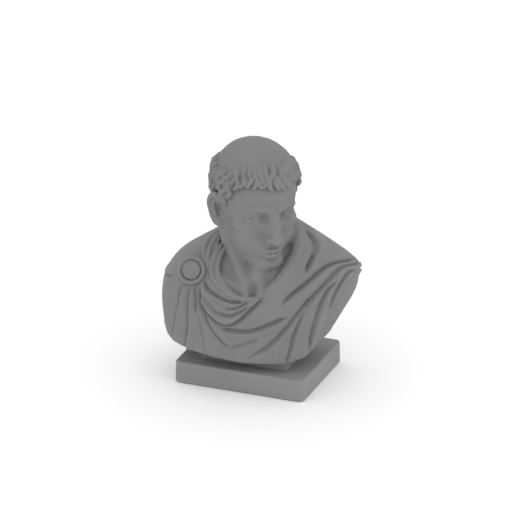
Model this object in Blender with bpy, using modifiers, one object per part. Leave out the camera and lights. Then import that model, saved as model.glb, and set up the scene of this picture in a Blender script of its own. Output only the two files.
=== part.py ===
# Life-size stone portrait bust of a Roman emperor in a military cloak
# on a separate rectangular plinth.
#
# Metres, +Z up, the bust's chest faces -Y, origin at the centre of the
# plinth's underside. The bust is carved in parts of its own height, so it
# keeps its shape at another size. The plinth follows its own named sizes.

import math

import bmesh
import bpy
import numpy as np

# Plinth, in metres
PLINTH_WIDTH = 0.275
PLINTH_DEPTH = 0.218
PLINTH_HEIGHT = 0.0455
PLINTH_TAPER = 0.0008
PLINTH_CORNER = 0.011
PLINTH_EDGE = 0.0035
FIT_GAP = 0.0003

# Bust, in metres, from the plinth's top to the crown
BUST_HEIGHT = 0.4527

# The bust is laid out in parts, counted up from the plinth's underside
PARTS_TALL = 226.35
STAND_LEVEL = 22.75
PART = BUST_HEIGHT / PARTS_TALL
TRIANGLE_LIMIT = 9200

# Spacing of the first skin over the carving and of the evened one, in parts
FIRST_SKIN = 1.6
EVEN_SKIN = 1.4

# Turn and tilt of the chest and the head, in degrees
CHEST_YAW = 10.0
HEAD_YAW = 47.0
HEAD_NOD = 8.0
HEAD_LEAN = 1.0
HEAD_CENTRE = (0.0, -6.0, 191.5)

# Chest sections: height, figure's right side, left side, front, back
SECTIONS = (
    (18, -76, 56, -51, 23),
    (30, -84, 65, -55, 28),
    (40, -89.5, 72, -57, 32),
    (55, -94, 81, -58, 36),
    (75, -96.5, 92, -57, 39),
    (92, -96, 101, -53, 41),
    (105, -93, 105, -48, 42),
    (118, -85, 104, -41, 42),
    (128, -75, 94, -34, 41),
    (138, -60, 79, -26, 39),
    (148, -44, 62, -17, 37),
    (158, -30, 44, -9, 34),
    (166, -19, 29, -2, 30),
    (172, -6, 12, 6, 22),
)
SECTION_SPINE = 2.0
HEM_SQUARE_TO, HEM_SQUARE_OVER = 60.0, 25.0
ARM_CUT_NORMAL = (0.90, -0.20, -0.39)
ARM_CUT_POINT = (101.0, 8.0, 117.0)

# Underside of the carved cloak, and the block it stands on
HEM_LEVEL = 33.2
HEM_RISE_FROM = 38.0
HEM_RISE = 0.28
HEM_RIGHT_FROM = -8.0
HEM_RIGHT_RISE = 0.14
FOOT_LEFT, FOOT_RIGHT = -47.5, 45.0
FOOT_FRONT, FOOT_BACK = -36.0, 22.0
FOOT_TOP = 44.0
FOOT_CORNER = 3.0
FOOT_SPARE = 6.0

# Slanting oval opening of the cloak round the neck
OPENING_CENTRE = (2.5, -18.0, 140.0)
OPENING_SLANT = 51.0
OPENING_HALF_WIDTH = 39.0
OPENING_HALF_LENGTH = 49.5
SKIN_INSET = 5.0

# Round brooch on the figure's right shoulder
BROOCH_CENTRE = (-60.5, -34.5, 120.2)
BROOCH_FACING = (-0.12, -0.88, 0.46)
BROOCH_RADIUS = 14.4
BROOCH_THICKNESS = 9.0
BROOCH_GROOVE = 10.2
BROOCH_RAYS = 12

FOLD_CENTRE = (0.0, 0.0, 75.0)
STEP_WIDTH = 1.1

# Room the stone takes up, low and high corner, in parts
ROOM_LOW = (-114.0, -76.0, 8.0)
ROOM_HIGH = (124.0, 72.0, 262.0)

# How far from the surface, in grid steps, the field is worked out afresh
GRID_BAND = 1.9
GRID_CHUNK = 100000


def blend_min(a, b, soft):
    share = np.clip(0.5 + 0.5 * (b - a) / soft, 0.0, 1.0)
    return b + (a - b) * share - soft * share * (1.0 - share)


def blend_max(a, b, soft):
    return -blend_min(-a, -b, soft)


def turn(yaw, nod=0.0, lean=0.0):
    y, n, r = (math.radians(angle) for angle in (yaw, nod, lean))
    about_z = np.array([[math.cos(y), -math.sin(y), 0], [math.sin(y), math.cos(y), 0], [0, 0, 1]])
    about_x = np.array([[1, 0, 0], [0, math.cos(n), -math.sin(n)], [0, math.sin(n), math.cos(n)]])
    about_y = np.array([[math.cos(r), 0, math.sin(r)], [0, 1, 0], [-math.sin(r), 0, math.cos(r)]])
    return about_z @ about_x @ about_y


CHEST_TURN = turn(CHEST_YAW)
HEAD_TURN = turn(HEAD_YAW, HEAD_NOD, HEAD_LEAN)


def ellipsoid(p, centre, radii):
    q = p - np.asarray(centre, float)
    radii = np.asarray(radii, float)
    near = np.sqrt(((q / radii) ** 2).sum(1)) + 1e-9
    slope = np.sqrt(((q / radii**2) ** 2).sum(1)) + 1e-9
    return near * (near - 1.0) / slope


def dent(p, centre, radii, depth):
    q = (p - np.asarray(centre, float)) / np.asarray(radii, float)
    return depth * np.exp(-(q * q).sum(1))


def rod(p, start, end, start_radius, end_radius):
    a = np.asarray(start, float)
    along = np.asarray(end, float) - a
    t = np.clip((p - a) @ along / (along @ along), 0.0, 1.0)
    off = np.linalg.norm(p - a - t[:, None] * along, axis=1)
    return off - (start_radius + (end_radius - start_radius) * t)


def curve_through(points, steps=6):
    pts = np.asarray(points, float)
    pts = np.vstack([2 * pts[0] - pts[1], pts, 2 * pts[-1] - pts[-2]])
    out = []
    for i in range(1, len(pts) - 2):
        a, b, c, d = pts[i - 1 : i + 3]
        for t in np.linspace(0, 1, steps, endpoint=False):
            bend = 2 * a - 5 * b + 4 * c - d
            kick = 3 * b - a - 3 * c + d
            out.append(0.5 * (2 * b + (c - a) * t + bend * t**2 + kick * t**3))
    out.append(pts[-2])
    return np.array(out)


def nearest_on(path, p):
    """Distance from each point to the path, the share of the way along it,
    the nearest place on it and the path's direction there."""
    steps = np.diff(path, axis=0)
    lengths = np.linalg.norm(steps, axis=1)
    total = lengths.sum()
    far = np.full(len(p), 1e9)
    share = np.zeros(len(p))
    foot = np.zeros_like(p)
    along = np.zeros_like(p)
    run = 0.0
    for start, step, length in zip(path[:-1], steps, lengths):
        t = np.clip((p - start) @ step / (length * length), 0.0, 1.0)
        at = start + t[:, None] * step
        off = np.linalg.norm(p - at, axis=1)
        closer = off < far
        far[closer] = off[closer]
        share[closer] = (run + t[closer] * length) / total
        foot[closer] = at[closer]
        along[closer] = step / length
        run += length
    return far, share, foot, along


def close_to(p, path, reach):
    low = path.min(0) - reach
    high = path.max(0) + reach
    return np.flatnonzero(((p > low) & (p < high)).all(1))


SECTION_TABLE = curve_through(SECTIONS, 8)


def chest_section(p):
    """Below zero inside the chest's rounded section at the point's height."""
    z = np.clip(p[:, 2], SECTION_TABLE[0, 0], SECTION_TABLE[-1, 0])
    right, left, front, back = (np.interp(z, SECTION_TABLE[:, 0], SECTION_TABLE[:, k]) for k in range(1, 5))
    middle = (right + left) / 2
    half = (left - right) / 2
    spine = np.minimum(np.maximum(SECTION_SPINE, front + 4), back - 4)
    fore = p[:, 1] < spine
    deep = np.where(fore, spine - front, back - spine)
    squareness = np.clip((HEM_SQUARE_TO - z) / HEM_SQUARE_OVER, 0, 1)
    power = np.where(fore, 2.35 + 0.45 * squareness, 2.6)
    across = np.abs(p[:, 0] - middle) / half
    through = np.abs(p[:, 1] - spine) / deep
    return (across**power + through**power + 1e-12) ** (1 / power) - 1


def chest(p):
    inside = chest_section(p)
    slope = np.zeros(len(p))
    for k in range(3):
        step = np.zeros(3)
        step[k] = 0.5
        slope += ((chest_section(p + step) - inside) / 0.5) ** 2
    return inside / np.maximum(np.sqrt(slope), 0.004)


def on_chest(azimuth, elevation):
    """Point of the chest's surface seen from its middle in this direction."""
    a, e = math.radians(azimuth), math.radians(elevation)
    way = np.array([math.sin(a) * math.cos(e), -math.cos(a) * math.cos(e), math.sin(e)])
    reach = np.linspace(20, 130, 441)
    ray = np.array(FOLD_CENTRE) + reach[:, None] * way
    value = chest_section(ray)
    k = np.flatnonzero(value > 0)[0]
    share = value[k - 1] / (value[k - 1] - value[k])
    return ray[k - 1] + share * (ray[k] - ray[k - 1])


# Cloak folds run between directions seen from the middle of the chest.
# Each is its directions, the height of its lip, the depth of its crease,
# the breadth of both, and the side of its lip.
BROOCH_FALLS = (
    (((-64, 22), (-61, 8), (-62, -6), (-66, -24)), 1.4, 3.0, 3.6, 1),
    (((-58, 23), (-53, 8), (-51, -8), (-53, -30)), 2.0, 4.2, 4.2, 1),
    (((-54, 25), (-49, 14), (-46, 4)), 1.4, 3.0, 3.0, 1),
    (((-51, 27), (-42, 11), (-31, -7), (-16, -24)), 2.0, 3.6, 4.4, 1),
    (((-45, 7), (-41, -8), (-38, -20), (-34, -36)), 0.6, 1.0, 3.5, 1),
    (((-16, -24), (-2, -20), (14, -14)), 0.9, 1.4, 4.0, -1),
    (((-74, 20), (-74, 4), (-78, -16)), 0.9, 1.8, 4.0, 1),
)
NECK_SWAGS = (
    (((-53, 33), (-45, 26), (-30, 22), (-14, 21), (-3, 25)), 1.8, 3.6, 3.2, -1),
    (((-25, 14), (-17, 14), (-8, 18), (2, 24)), 1.2, 2.6, 2.6, -1),
    (((-49, 24), (-40, 16), (-31, 9), (-18, 7), (-8, 12), (6, 23)), 1.3, 2.6, 2.8, -1),
    (((-50, 27), (-39, 11), (-25, 0), (-13, 2), (4, 19), (24, 36)), 2.8, 3.0, 4.6, 1),
    (((-28, -2), (-20, -7), (3, -7), (25, 2), (40, 10)), 2.0, 3.2, 4.6, -1),
)
SHOULDER_FAN = (
    (((100, 28), (92, 29), (74, 35), (56, 31), (40, 24), (31, 16)), 1.6, 3.8, 5.5, 1),
    (((106, 23), (92, 26), (77, 30), (59, 22), (46, 10), (22, -20), (-8, -38)), 1.6, 2.6, 5.0, 1),
    (((60, 23), (52, 15), (45, 0), (40, -26), (37, -39)), 1.4, 2.6, 3.6, 1),
    (((74, 27), (64, 20), (58, 4), (57, -16), (61, -34)), 1.8, 3.2, 4.4, 1),
    (((112, 17), (91, 23), (80, 26), (69, 18), (67, 4), (72, -14)), 1.4, 2.8, 4.0, 1),
)
COLLAR_FOLDS = (
    (((96, 61), (89, 54), (80, 48), (70, 44), (58, 38)), 1.4, 4.2, 4.6, 1),
    (((72, 52), (61, 50), (48, 46)), 0.9, 1.8, 3.2, 1),
    (((-96, 17), (-84, 17), (-72, 22)), 0.8, 1.8, 3.0, 1),
)

# Rolls of cloth are tubes laid on the chest: directions, radius, sink,
# and how softly they rise from the cloth
ROLLS = (
    (((-87, 64), (-83, 56), (-75, 50), (-66, 46), (-55, 40)), 3.3, 0.7, 1.0),
    (((-83, 68), (-77, 59), (-68, 52), (-60, 46), (-52, 39)), 2.8, 0.4, 1.0),
    (((-67, 66), (-62, 58), (-56, 49), (-50, 41), (-40, 35), (-22, 29), (-4, 27), (12, 30)), 2.9, 0.6, 1.0),
    (((-60, 66), (-55, 57), (-49, 48), (-43, 41), (-35, 36), (-22, 31), (-12, 29)), 2.5, 1.5, 1.0),
    (((92, 68), (84, 62), (72, 55), (59, 50), (43, 42), (24, 33), (8, 28)), 8.0, 6.6, 3.0),
    (((112, 62), (104, 57), (96, 52), (86, 46), (74, 40)), 8.0, 6.4, 3.0),
)

BACK_FOLD_COUNT = 6


def back_folds():
    """Broad slanting folds across the cloak's back."""
    folds = []
    for i in range(BACK_FOLD_COUNT):
        share = i / (BACK_FOLD_COUNT - 1)
        start = (112 + 10 * share, 34 - 30 * share)
        middle = (172 + 6 * share, 12 - 34 * share)
        end = (248 - 14 * share, 24 - 52 * share)
        folds.append(((start, middle, end), 2.2, 2.6, 6.0, 1))
    return folds


def lay(directions, steps=10):
    curve = curve_through(directions, steps)
    return np.array([on_chest(a, e) for a, e in curve])


FOLDS = [
    (lay(directions), lip, crease, breadth, side)
    for directions, lip, crease, breadth, side in (
        *BROOCH_FALLS, *NECK_SWAGS, *SHOULDER_FAN, *COLLAR_FOLDS, *back_folds()
    )
]
ROLL_PATHS = [(lay(directions), radius, sink, soft) for directions, radius, sink, soft in ROLLS]


def fold_height(p):
    """Rise of the cloth at each point: a rounded lip stands over a hollow
    with a steep step between them, dying away towards the fold's ends."""
    rise = np.zeros(len(p))
    for path, lip, crease, breadth, side in FOLDS:
        idx = close_to(p, path, 3.2 * breadth)
        if not len(idx):
            continue
        off, share, foot, along = nearest_on(path, p[idx])
        out = foot - np.array(FOLD_CENTRE)
        across = np.cross(out, along)
        across /= np.linalg.norm(across, axis=1)[:, None] + 1e-9
        d = side * ((p[idx] - foot) * across).sum(1)
        fade = np.clip(np.minimum(share, 1 - share) * 6, 0, 1)
        fade = fade * fade * (3 - 2 * fade)
        fade *= np.clip((3.2 * breadth - off) / breadth, 0, 1)
        wide = breadth * (0.45 + 0.55 * fade)
        over = 0.5 + 0.5 * np.tanh(d / STEP_WIDTH)
        raised = 1.1 * lip * np.exp(-(((d - 0.3 * wide) / (1.0 * wide)) ** 2))
        sunk = 1.9 * crease * np.exp(-((np.abs(d) / (0.40 * wide)) ** 1.2))
        rise[idx] += fade * (over * raised - (1 - over) * sunk)
    return rise


def cloak(p):
    body = chest(p)
    shell = np.flatnonzero(np.abs(body) < 12)
    body[shell] -= fold_height(p[shell])
    normal = np.array(ARM_CUT_NORMAL)
    normal /= np.linalg.norm(normal)
    body = blend_max(body, (p - np.array(ARM_CUT_POINT)) @ normal, 1.4)
    hem = HEM_LEVEL + HEM_RISE * np.maximum(p[:, 0] - HEM_RISE_FROM, 0)
    hem += HEM_RIGHT_RISE * np.maximum(HEM_RIGHT_FROM - p[:, 0], 0)
    body = blend_max(body, hem - p[:, 2], 2.2)
    q = p - np.array(OPENING_CENTRE)
    slant = math.radians(OPENING_SLANT)
    up_slope = q[:, 1] * math.cos(slant) + q[:, 2] * math.sin(slant)
    ahead = q[:, 2] * math.cos(slant) - q[:, 1] * math.sin(slant)
    oval = np.hypot(q[:, 0] / OPENING_HALF_WIDTH, up_slope / OPENING_HALF_LENGTH) - 1
    opening = np.maximum(oval * OPENING_HALF_WIDTH, -14 - ahead)
    body = blend_max(body, -opening, 2.0)
    body = np.maximum(body, p[:, 2] - 169)
    for path, radius, sink, soft in ROLL_PATHS:
        idx = close_to(p, path, radius + 10)
        if not len(idx):
            continue
        out = path - np.array(FOLD_CENTRE)
        out /= np.linalg.norm(out, axis=1)[:, None]
        off, share, foot, along = nearest_on(path - sink * out, p[idx])
        thin = np.clip(np.minimum(share, 1 - share) * 4 + 0.35, 0, 1)
        body[idx] = blend_min(body[idx], off - radius * thin, soft)
    return body


NOTCH = (3.5, -46.0, 105.0)


def neck(p):
    q = p @ CHEST_TURN
    body = rod(q, (-6, 8, 176), (3, -5, 104), 31, 33)
    skin = np.maximum(chest(q) + SKIN_INSET, np.maximum(q[:, 2] - 164, 60 - q[:, 2]))
    body = blend_min(body, skin, 9.0)
    for side, foot in ((-1, (-1.5, -44.0, 104.0)), (1, (9.5, -43.5, 105.0))):
        head_end = np.array(HEAD_CENTRE) + HEAD_TURN @ np.array((side * 27.0, 13.0, -26.0))
        head_end = head_end @ CHEST_TURN
        body = blend_min(body, rod(q, head_end, foot, 8.0, 4.6), 6.0)
    body = blend_min(body, rod(q, (12, -26, 146), (5, -38, 118), 10, 6), 6.0)
    body = blend_max(body, -ellipsoid(q, (NOTCH[0], NOTCH[1] - 2.5, NOTCH[2] + 5), (5, 6, 10)), 4.0)
    for side in (-1, 1):
        body = blend_min(body, rod(q, (4 + 8 * side, -43, 103), (4 + 42 * side, -33, 118), 3.2, 3.2), 6.0)
    return body


# Head, in parts from the middle of the head at eye level, facing -Y
SKULL_CENTRE, SKULL_RADII = (0, 6, 16.5), (37.5, 48.0, 38.5)
CAP_CENTRE, CAP_RADII = (0, 6.5, 16.5), (41.7, 52.0, 41.4)
CROWN_LEAN, CROWN_LEAN_FROM = 0.085, 4.0

# Lower edge of the hair: angle from the face, height
HAIRLINE = (
    (0, 33), (38, 33), (54, 29), (64, 17), (72, 3), (79, 2),
    (86, 13), (100, 14), (110, 2), (124, -24), (180, -31),
)

EAR_CENTRE = (41.0, 3.5, -7.5)
EAR_SPLAY = 38.0


def eye(f, m):
    f = blend_max(f, -ellipsoid(m, (16.3, -43.0, -0.5), (10.0, 9.0, 7.2)), 4.0)
    f = blend_min(f, ellipsoid(m, (15.8, -30.2, -0.6), (7.4, 7.4, 7.4)), 0.8)
    lids = ellipsoid(m, (15.8, -30.2, -0.6), (9.2, 8.9, 8.6))
    bow = 1 - ((m[:, 0] - 16) / 8.0) ** 2
    slit = np.maximum(m[:, 2] - 0.4 - 2.6 * bow, -0.8 - 2.9 * bow - m[:, 2])
    slit = np.maximum(slit, np.abs(m[:, 0] - 16) - 8.2)
    return blend_min(f, blend_max(lids, -slit, 0.8), 2.2)


def nose(f, m):
    f = blend_min(f, rod(m, (0, -40.5, 3), (0, -51.8, -19), 3.4, 4.2), 5.0)
    f = blend_min(f, ellipsoid(m, (0, -40, -15), (8.5, 8.5, 14)), 5.0)
    f = blend_min(f, ellipsoid(m, (0, -51.6, -20.6), (5.2, 5.4, 5.0)), 4.0)
    f = blend_min(f, ellipsoid(m, (6.0, -46.0, -22.6), (3.5, 5.2, 3.8)), 3.0)
    return f + dent(m, (3.6, -49.5, -26.6), (1.9, 3.2, 2.4), 1.8)


UPPER_LIP = curve_through(((13, -39.6, -37.0), (8, -43.8, -36.0), (3, -46.6, -34.8), (0, -46.6, -35.2)), 4)
LOWER_LIP = curve_through(((12, -40.4, -38.0), (6, -44.4, -40.2), (0, -45.8, -41.0)), 4)
MOUTH_LINE = curve_through(((14, -40.2, -37.2), (8, -45.4, -37.6), (0, -49.0, -37.5)), 4)


def mouth(f, m):
    off, share, foot, along = nearest_on(UPPER_LIP, m)
    f = blend_min(f, off - (1.2 + 1.3 * share), 2.0)
    off, share, foot, along = nearest_on(LOWER_LIP, m)
    f = blend_min(f, off - (1.2 + 1.9 * share), 2.0)
    off, share, foot, along = nearest_on(MOUTH_LINE, m)
    f = f + 1.5 * np.exp(-((off / 1.3) ** 2))
    return blend_max(f, -ellipsoid(m, (0, -49.0, -46.2), (9, 4.6, 2.8)), 3.0)


def ear(f, m):
    e = m - np.array(EAR_CENTRE)
    splay = math.radians(EAR_SPLAY)
    back_way = np.array((math.sin(splay), math.cos(splay), 0))
    out_way = np.array((back_way[1], -back_way[0], 0))
    b = e[:, 2]
    a = e @ back_way - 0.14 * b
    c = e @ out_way
    flat = np.column_stack([a, b, c])
    f = blend_min(f, ellipsoid(flat, (-3.5, -1, -4.5), (6.5, 10, 6)), 3.0)
    f = blend_min(f, ellipsoid(flat, (0.3, 1, -1.2), (8.4, 14.5, 3.0)), 1.5)
    f = blend_max(f, -ellipsoid(flat, (-1.5, 0, 3.0), (5.2, 9.5, 4.8)), 1.2)
    wide = 7.5 + 0.9 * np.tanh((b - 1) / 4)
    ring = np.hypot(a / wide, (b - 1) / 14.5)
    rim = np.hypot((ring - 1) * wide * 0.95, c - 0.9) - 1.9
    rim = np.maximum(rim, -3.0 - a - np.maximum(b - 6, 0))
    f = blend_min(f, rim, 1.2)
    f = blend_min(f, ellipsoid(flat, (-3.4, -14.2, 0), (3.6, 4.4, 2.6)), 2.0)
    f = blend_min(f, ellipsoid(flat, (-7.4, -2, 1.0), (2.0, 3.2, 2.4)), 1.6)
    return blend_min(f, rod(flat, (0.8, -6, 0.6), (3.2, 6, 0.8), 1.4, 1.3), 1.6)


def scalp(azimuth, height, lift=0.0):
    """Point of the hair's outer surface at this angle from the face."""
    a = math.radians(azimuth)
    wide, deep, tall = (radius + lift for radius in CAP_RADII)
    round_off = math.sqrt(max(1 - ((height - CAP_CENTRE[2]) / tall) ** 2, 0.02))
    reach = round_off / math.hypot(math.sin(a) / wide, math.cos(a) / deep)
    return np.array((reach * math.sin(a), CAP_CENTRE[1] - reach * math.cos(a), height))


def upright_crown(h):
    """Head coordinates with the crown's slight lean to the left taken out."""
    upright = h.copy()
    upright[:, 0] -= CROWN_LEAN * np.maximum(h[:, 2] - CROWN_LEAN_FROM, 0)
    return upright


def hairline_height(azimuth):
    angles, heights = zip(*HAIRLINE)
    return float(np.interp(abs(azimuth), angles, heights))


# Bands of hair: from and to (degrees from the face), spacing in degrees,
# step up between rows, length and thickness of a lock, and its hook
LOCK_BANDS = (
    (0, 52, 8.6, 6.6, 8.4, 3.5, 6.5),
    (52, 106, 8.6, 6.8, 7.6, 3.3, 6.0),
    (106, 180, 11.5, 10.5, 12.0, 4.3, 7.0),
)
# Height where the locks give way to the smooth crown: angle, height
LOCKS_TOP = ((0, 50), (52, 47), (106, 34), (180, 24))


def hair_locks():
    """Comma-shaped locks in staggered rows from the hairline up to the
    crown, low where they meet it, with ring curls among the lowest."""
    locks = []
    for first, last, spacing, climb, length, thickness, hook in LOCK_BANDS:
        count = int(round((last - first) / spacing))
        for column in range(count):
            for side in (-1, 1):
                turned = first + (column + 0.5) * (last - first) / count
                tip = hairline_height(turned) - 1.5
                top = float(np.interp(turned, *zip(*LOCKS_TOP)))
                row = 0
                while tip < top - 6.5:
                    vary = math.sin(12.9 * column + 4.1 * row + 2.3 * side)
                    azimuth = side * (turned + 0.25 * spacing * (1 if row % 2 else -1))
                    bend = hook * (1 + 0.4 * vary) * (1 if (row + (azimuth > -14)) % 2 else -1)
                    near_top = min(max((tip + 15 - top) / 12, 0), 1)
                    lift = -0.8 - 2.2 * near_top
                    size = thickness * (1 + 0.12 * vary)
                    if row == 0 and column % 4 == 2:
                        locks.append(ring_curl(azimuth, tip + 4.5, 0.8 * size, lift))
                    else:
                        root = tip + length * (1 + 0.2 * vary)
                        points = []
                        for t in np.linspace(0, 1, 5):
                            swing = azimuth + bend * (t * t - 0.35)
                            points.append(scalp(swing, root + (tip - root) * t, lift))
                        locks.append((np.array(points), size, 0.72))
                    tip += climb
                    row += 1
    return locks


def ring_curl(azimuth, height, size, lift):
    centre = scalp(azimuth, height, lift + 0.6)
    side = scalp(azimuth + 4, height, lift + 0.6) - centre
    side /= np.linalg.norm(side)
    up = scalp(azimuth, height + 4, lift + 0.6) - centre
    up /= np.linalg.norm(up)
    points = []
    for t in np.linspace(0, 1, 11):
        angle = math.radians(100 + 430 * t)
        radius = 4.2 * (1 - 0.68 * t)
        points.append(centre + radius * (math.cos(angle) * side + math.sin(angle) * up))
    return np.array(points), 0.62 * size, 0.25


LOCKS = hair_locks()


def hair(f, h, m):
    h = upright_crown(h)
    cap = ellipsoid(h, CAP_CENTRE, CAP_RADII)
    angle = np.degrees(np.arctan2(m[:, 0], -(h[:, 1] - CAP_CENTRE[1])))
    angles, heights = zip(*HAIRLINE)
    edge = np.interp(angle, angles, heights)
    cap = blend_max(cap + 1.2, edge + 1.0 - h[:, 2], 3.0)
    f = blend_min(f, cap, 1.2)
    for path, size, taper in LOCKS:
        idx = close_to(h, path, size + 3)
        if not len(idx):
            continue
        off, share, foot, along = nearest_on(path, h[idx])
        thick = size * np.sqrt(np.clip(1 - taper * share, 0.05, 1)) * np.clip(0.62 + 2.2 * share, 0, 1)
        f[idx] = blend_min(f[idx], off - thick, 0.9)
    return f


def head(p):
    h = (p - np.array(HEAD_CENTRE)) @ HEAD_TURN
    m = np.column_stack([np.abs(h[:, 0]), h[:, 1], h[:, 2]])
    f = ellipsoid(upright_crown(h), SKULL_CENTRE, SKULL_RADII)
    f = blend_min(f, ellipsoid(m, (0, -8, 4), (34, 32, 26)), 8.0)
    f = blend_min(f, ellipsoid(m, (0, -10.5, -18), (30.5, 30.5, 42)), 9.0)
    f = blend_min(f, rod(m, (29.5, 2, -6), (26.5, -2, -37), 8.5, 8.2), 9.0)
    f = blend_min(f, rod(m, (25.5, -4, -39), (8, -36.5, -51.0), 8.2, 8.2), 8.0)
    f = blend_min(f, ellipsoid(m, (0, -37.0, -51), (12.5, 10, 8.8)), 5.0)
    f = blend_min(f, ellipsoid(m, (22.5, -24, -13.5), (10.5, 11.0, 8.5)), 7.0)
    f = blend_min(f, ellipsoid(m, (19.5, -24.5, -29), (11, 10.5, 15)), 8.0)
    f = blend_min(f, ellipsoid(m, (0, -30.5, -34), (18.5, 14.5, 13)), 6.0)
    f = blend_min(f, rod(m, (4, -39.4, 8.8), (22.5, -33.8, 8.2), 4.4, 3.2), 5.0)
    face = np.flatnonzero((h[:, 1] < -20) & (f < 14))
    g = nose(mouth(eye(f[face], m[face]), m[face]), m[face])
    f[face] = g
    side = np.flatnonzero((m[:, 0] > 24) & (np.abs(h[:, 2] + 7) < 28) & (np.abs(h[:, 1] - 4) < 28))
    f[side] = ear(f[side], m[side])
    return hair(f, h, m)


def brooch(p):
    """Thick round brooch with a rolled rim, a groove inside it and a boss
    with short rays, on a mound of gathered cloth."""
    q = p - np.array(BROOCH_CENTRE)
    facing = np.array(BROOCH_FACING)
    facing /= np.linalg.norm(facing)
    depth = q @ facing
    across = np.sqrt(np.maximum((q * q).sum(1) - depth**2, 0))
    half = BROOCH_THICKNESS / 2
    disc = blend_max(across - BROOCH_RADIUS + 1.0, np.abs(depth + half) - half, 1.6)
    rim = np.hypot(across - (BROOCH_RADIUS - 2.2), depth) - 2.2
    disc = blend_min(disc, rim, 0.8)
    inner = blend_max(across - BROOCH_GROOVE + 0.4, np.abs(depth) - 1.1, 1.0)
    disc = blend_min(disc, inner, 0.5)
    disc += 2.2 * np.exp(-(((across - BROOCH_GROOVE) / 0.75) ** 2))
    boss = np.hypot(across, depth + 0.4) - 2.2
    disc = blend_min(disc, boss, 0.8)
    level = np.cross(facing, (0, 0, 1))
    angle = np.arctan2(q @ np.cross(level, facing), q @ level)
    ray = np.cos(BROOCH_RAYS / 2 * angle) ** 6
    disc += 0.6 * ray * np.exp(-(((across - 5.2) / 2.0) ** 2))
    mound = ellipsoid(p, np.array(BROOCH_CENTRE) - 9 * facing, (15.5, 10, 13.5))
    return disc, mound


def foot(p):
    middle = np.array((FOOT_LEFT + FOOT_RIGHT, FOOT_FRONT + FOOT_BACK)) / 2
    half = np.array((FOOT_RIGHT - FOOT_LEFT, FOOT_BACK - FOOT_FRONT)) / 2 - FOOT_CORNER
    q = np.abs(p[:, :2] - middle) - half
    wall = np.linalg.norm(np.maximum(q, 0), axis=1) + np.minimum(q.max(1), 0) - FOOT_CORNER
    return np.maximum(wall, np.maximum(p[:, 2] - FOOT_TOP, STAND_LEVEL - FOOT_SPARE - p[:, 2]))


def bust_field(p):
    """Below zero inside the carved bust. Points are in parts."""
    q = p @ CHEST_TURN
    f = cloak(q)
    disc, mound = brooch(q)
    f = blend_min(f, mound, 4.0)
    f = blend_min(f, disc, 0.8)
    f = blend_min(f, neck(p), 1.2)
    f = blend_min(f, foot(p), 3.0)
    f = blend_min(f, head(p), 3.0)
    return f


def clear_scene():
    for item in list(bpy.data.objects):
        bpy.data.objects.remove(item, do_unlink=True)
    for group in list(bpy.data.collections):
        bpy.data.collections.remove(group)


def collection(name, hidden=False):
    group = bpy.data.collections.new(name)
    bpy.context.scene.collection.children.link(group)
    group.hide_render = hidden
    return group


def move_to(item, group):
    for other in list(item.users_collection):
        other.objects.unlink(item)
    group.objects.link(item)


def to_world(p):
    return (p - np.array((0, 0, STAND_LEVEL))) * PART + np.array((0, 0, PLINTH_HEIGHT + FIT_GAP))


def to_parts(p):
    return (p - np.array((0, 0, PLINTH_HEIGHT + FIT_GAP))) / PART + np.array((0, 0, STAND_LEVEL))


def read_points(mesh):
    flat = np.empty(len(mesh.vertices) * 3)
    mesh.vertices.foreach_get("co", flat)
    return to_parts(flat.reshape(-1, 3))


def write_points(mesh, points):
    mesh.vertices.foreach_set("co", to_world(points).ravel())
    mesh.update()


def settle(points, normals, edges):
    """Slide each point along the surface towards the middle of its neighbours."""
    count = np.bincount(edges.ravel(), minlength=len(points))[:, None]
    total = np.zeros_like(points)
    for k in range(3):
        total[:, k] = np.bincount(edges[:, 0], points[edges[:, 1], k], len(points))
        total[:, k] += np.bincount(edges[:, 1], points[edges[:, 0], k], len(points))
    slide = total / np.maximum(count, 1) - points
    slide -= (slide * normals).sum(1)[:, None] * normals
    return points + 0.6 * slide


def carve(item, steps, reach):
    """Bring every point of the mesh onto the carved surface."""
    points = read_points(item.data)
    edges = np.empty(2 * len(item.data.edges), dtype=np.int32)
    item.data.edges.foreach_get("vertices", edges)
    edges = edges.reshape(-1, 2)
    for step in range(steps):
        inside = bust_field(points)
        slope = np.zeros_like(points)
        for k in range(3):
            nudge = np.zeros(3)
            nudge[k] = 0.05
            slope[:, k] = (bust_field(points + nudge) - inside) / 0.05
        size = np.maximum((slope**2).sum(1), 0.05)
        move = -(inside / size)[:, None] * slope
        length = np.linalg.norm(move, axis=1)
        limit = reach / np.maximum(length, reach)
        points += move * limit[:, None] * 0.8
        points = settle(points, slope / np.sqrt(size)[:, None], edges)
    write_points(item.data, points)


def apply_all(item):
    bpy.context.view_layer.objects.active = item
    for modifier in list(item.modifiers):
        bpy.ops.object.modifier_apply(modifier=modifier.name)


def remesh(item, voxel):
    skin = item.modifiers.new("Even skin", "REMESH")
    skin.mode = "VOXEL"
    skin.voxel_size = voxel * PART
    skin.adaptivity = 0.0
    apply_all(item)


# The carved surface is none that a primitive or a modifier gives, so an
# even grid is laid through the stone and a skin drawn where it ends
CORNERS = [np.array((x, y, z)) for x in (0, 1) for y in (0, 1) for z in (0, 1)]


def refined(values):
    """Grid of half the spacing, filled in between the given values."""
    for axis in range(3):
        values = np.moveaxis(values, axis, 0)
        finer = np.empty((2 * len(values) - 1, *values.shape[1:]))
        finer[::2] = values
        finer[1::2] = 0.5 * (values[:-1] + values[1:])
        values = np.moveaxis(finer, 0, axis)
    return np.ascontiguousarray(values)


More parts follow.
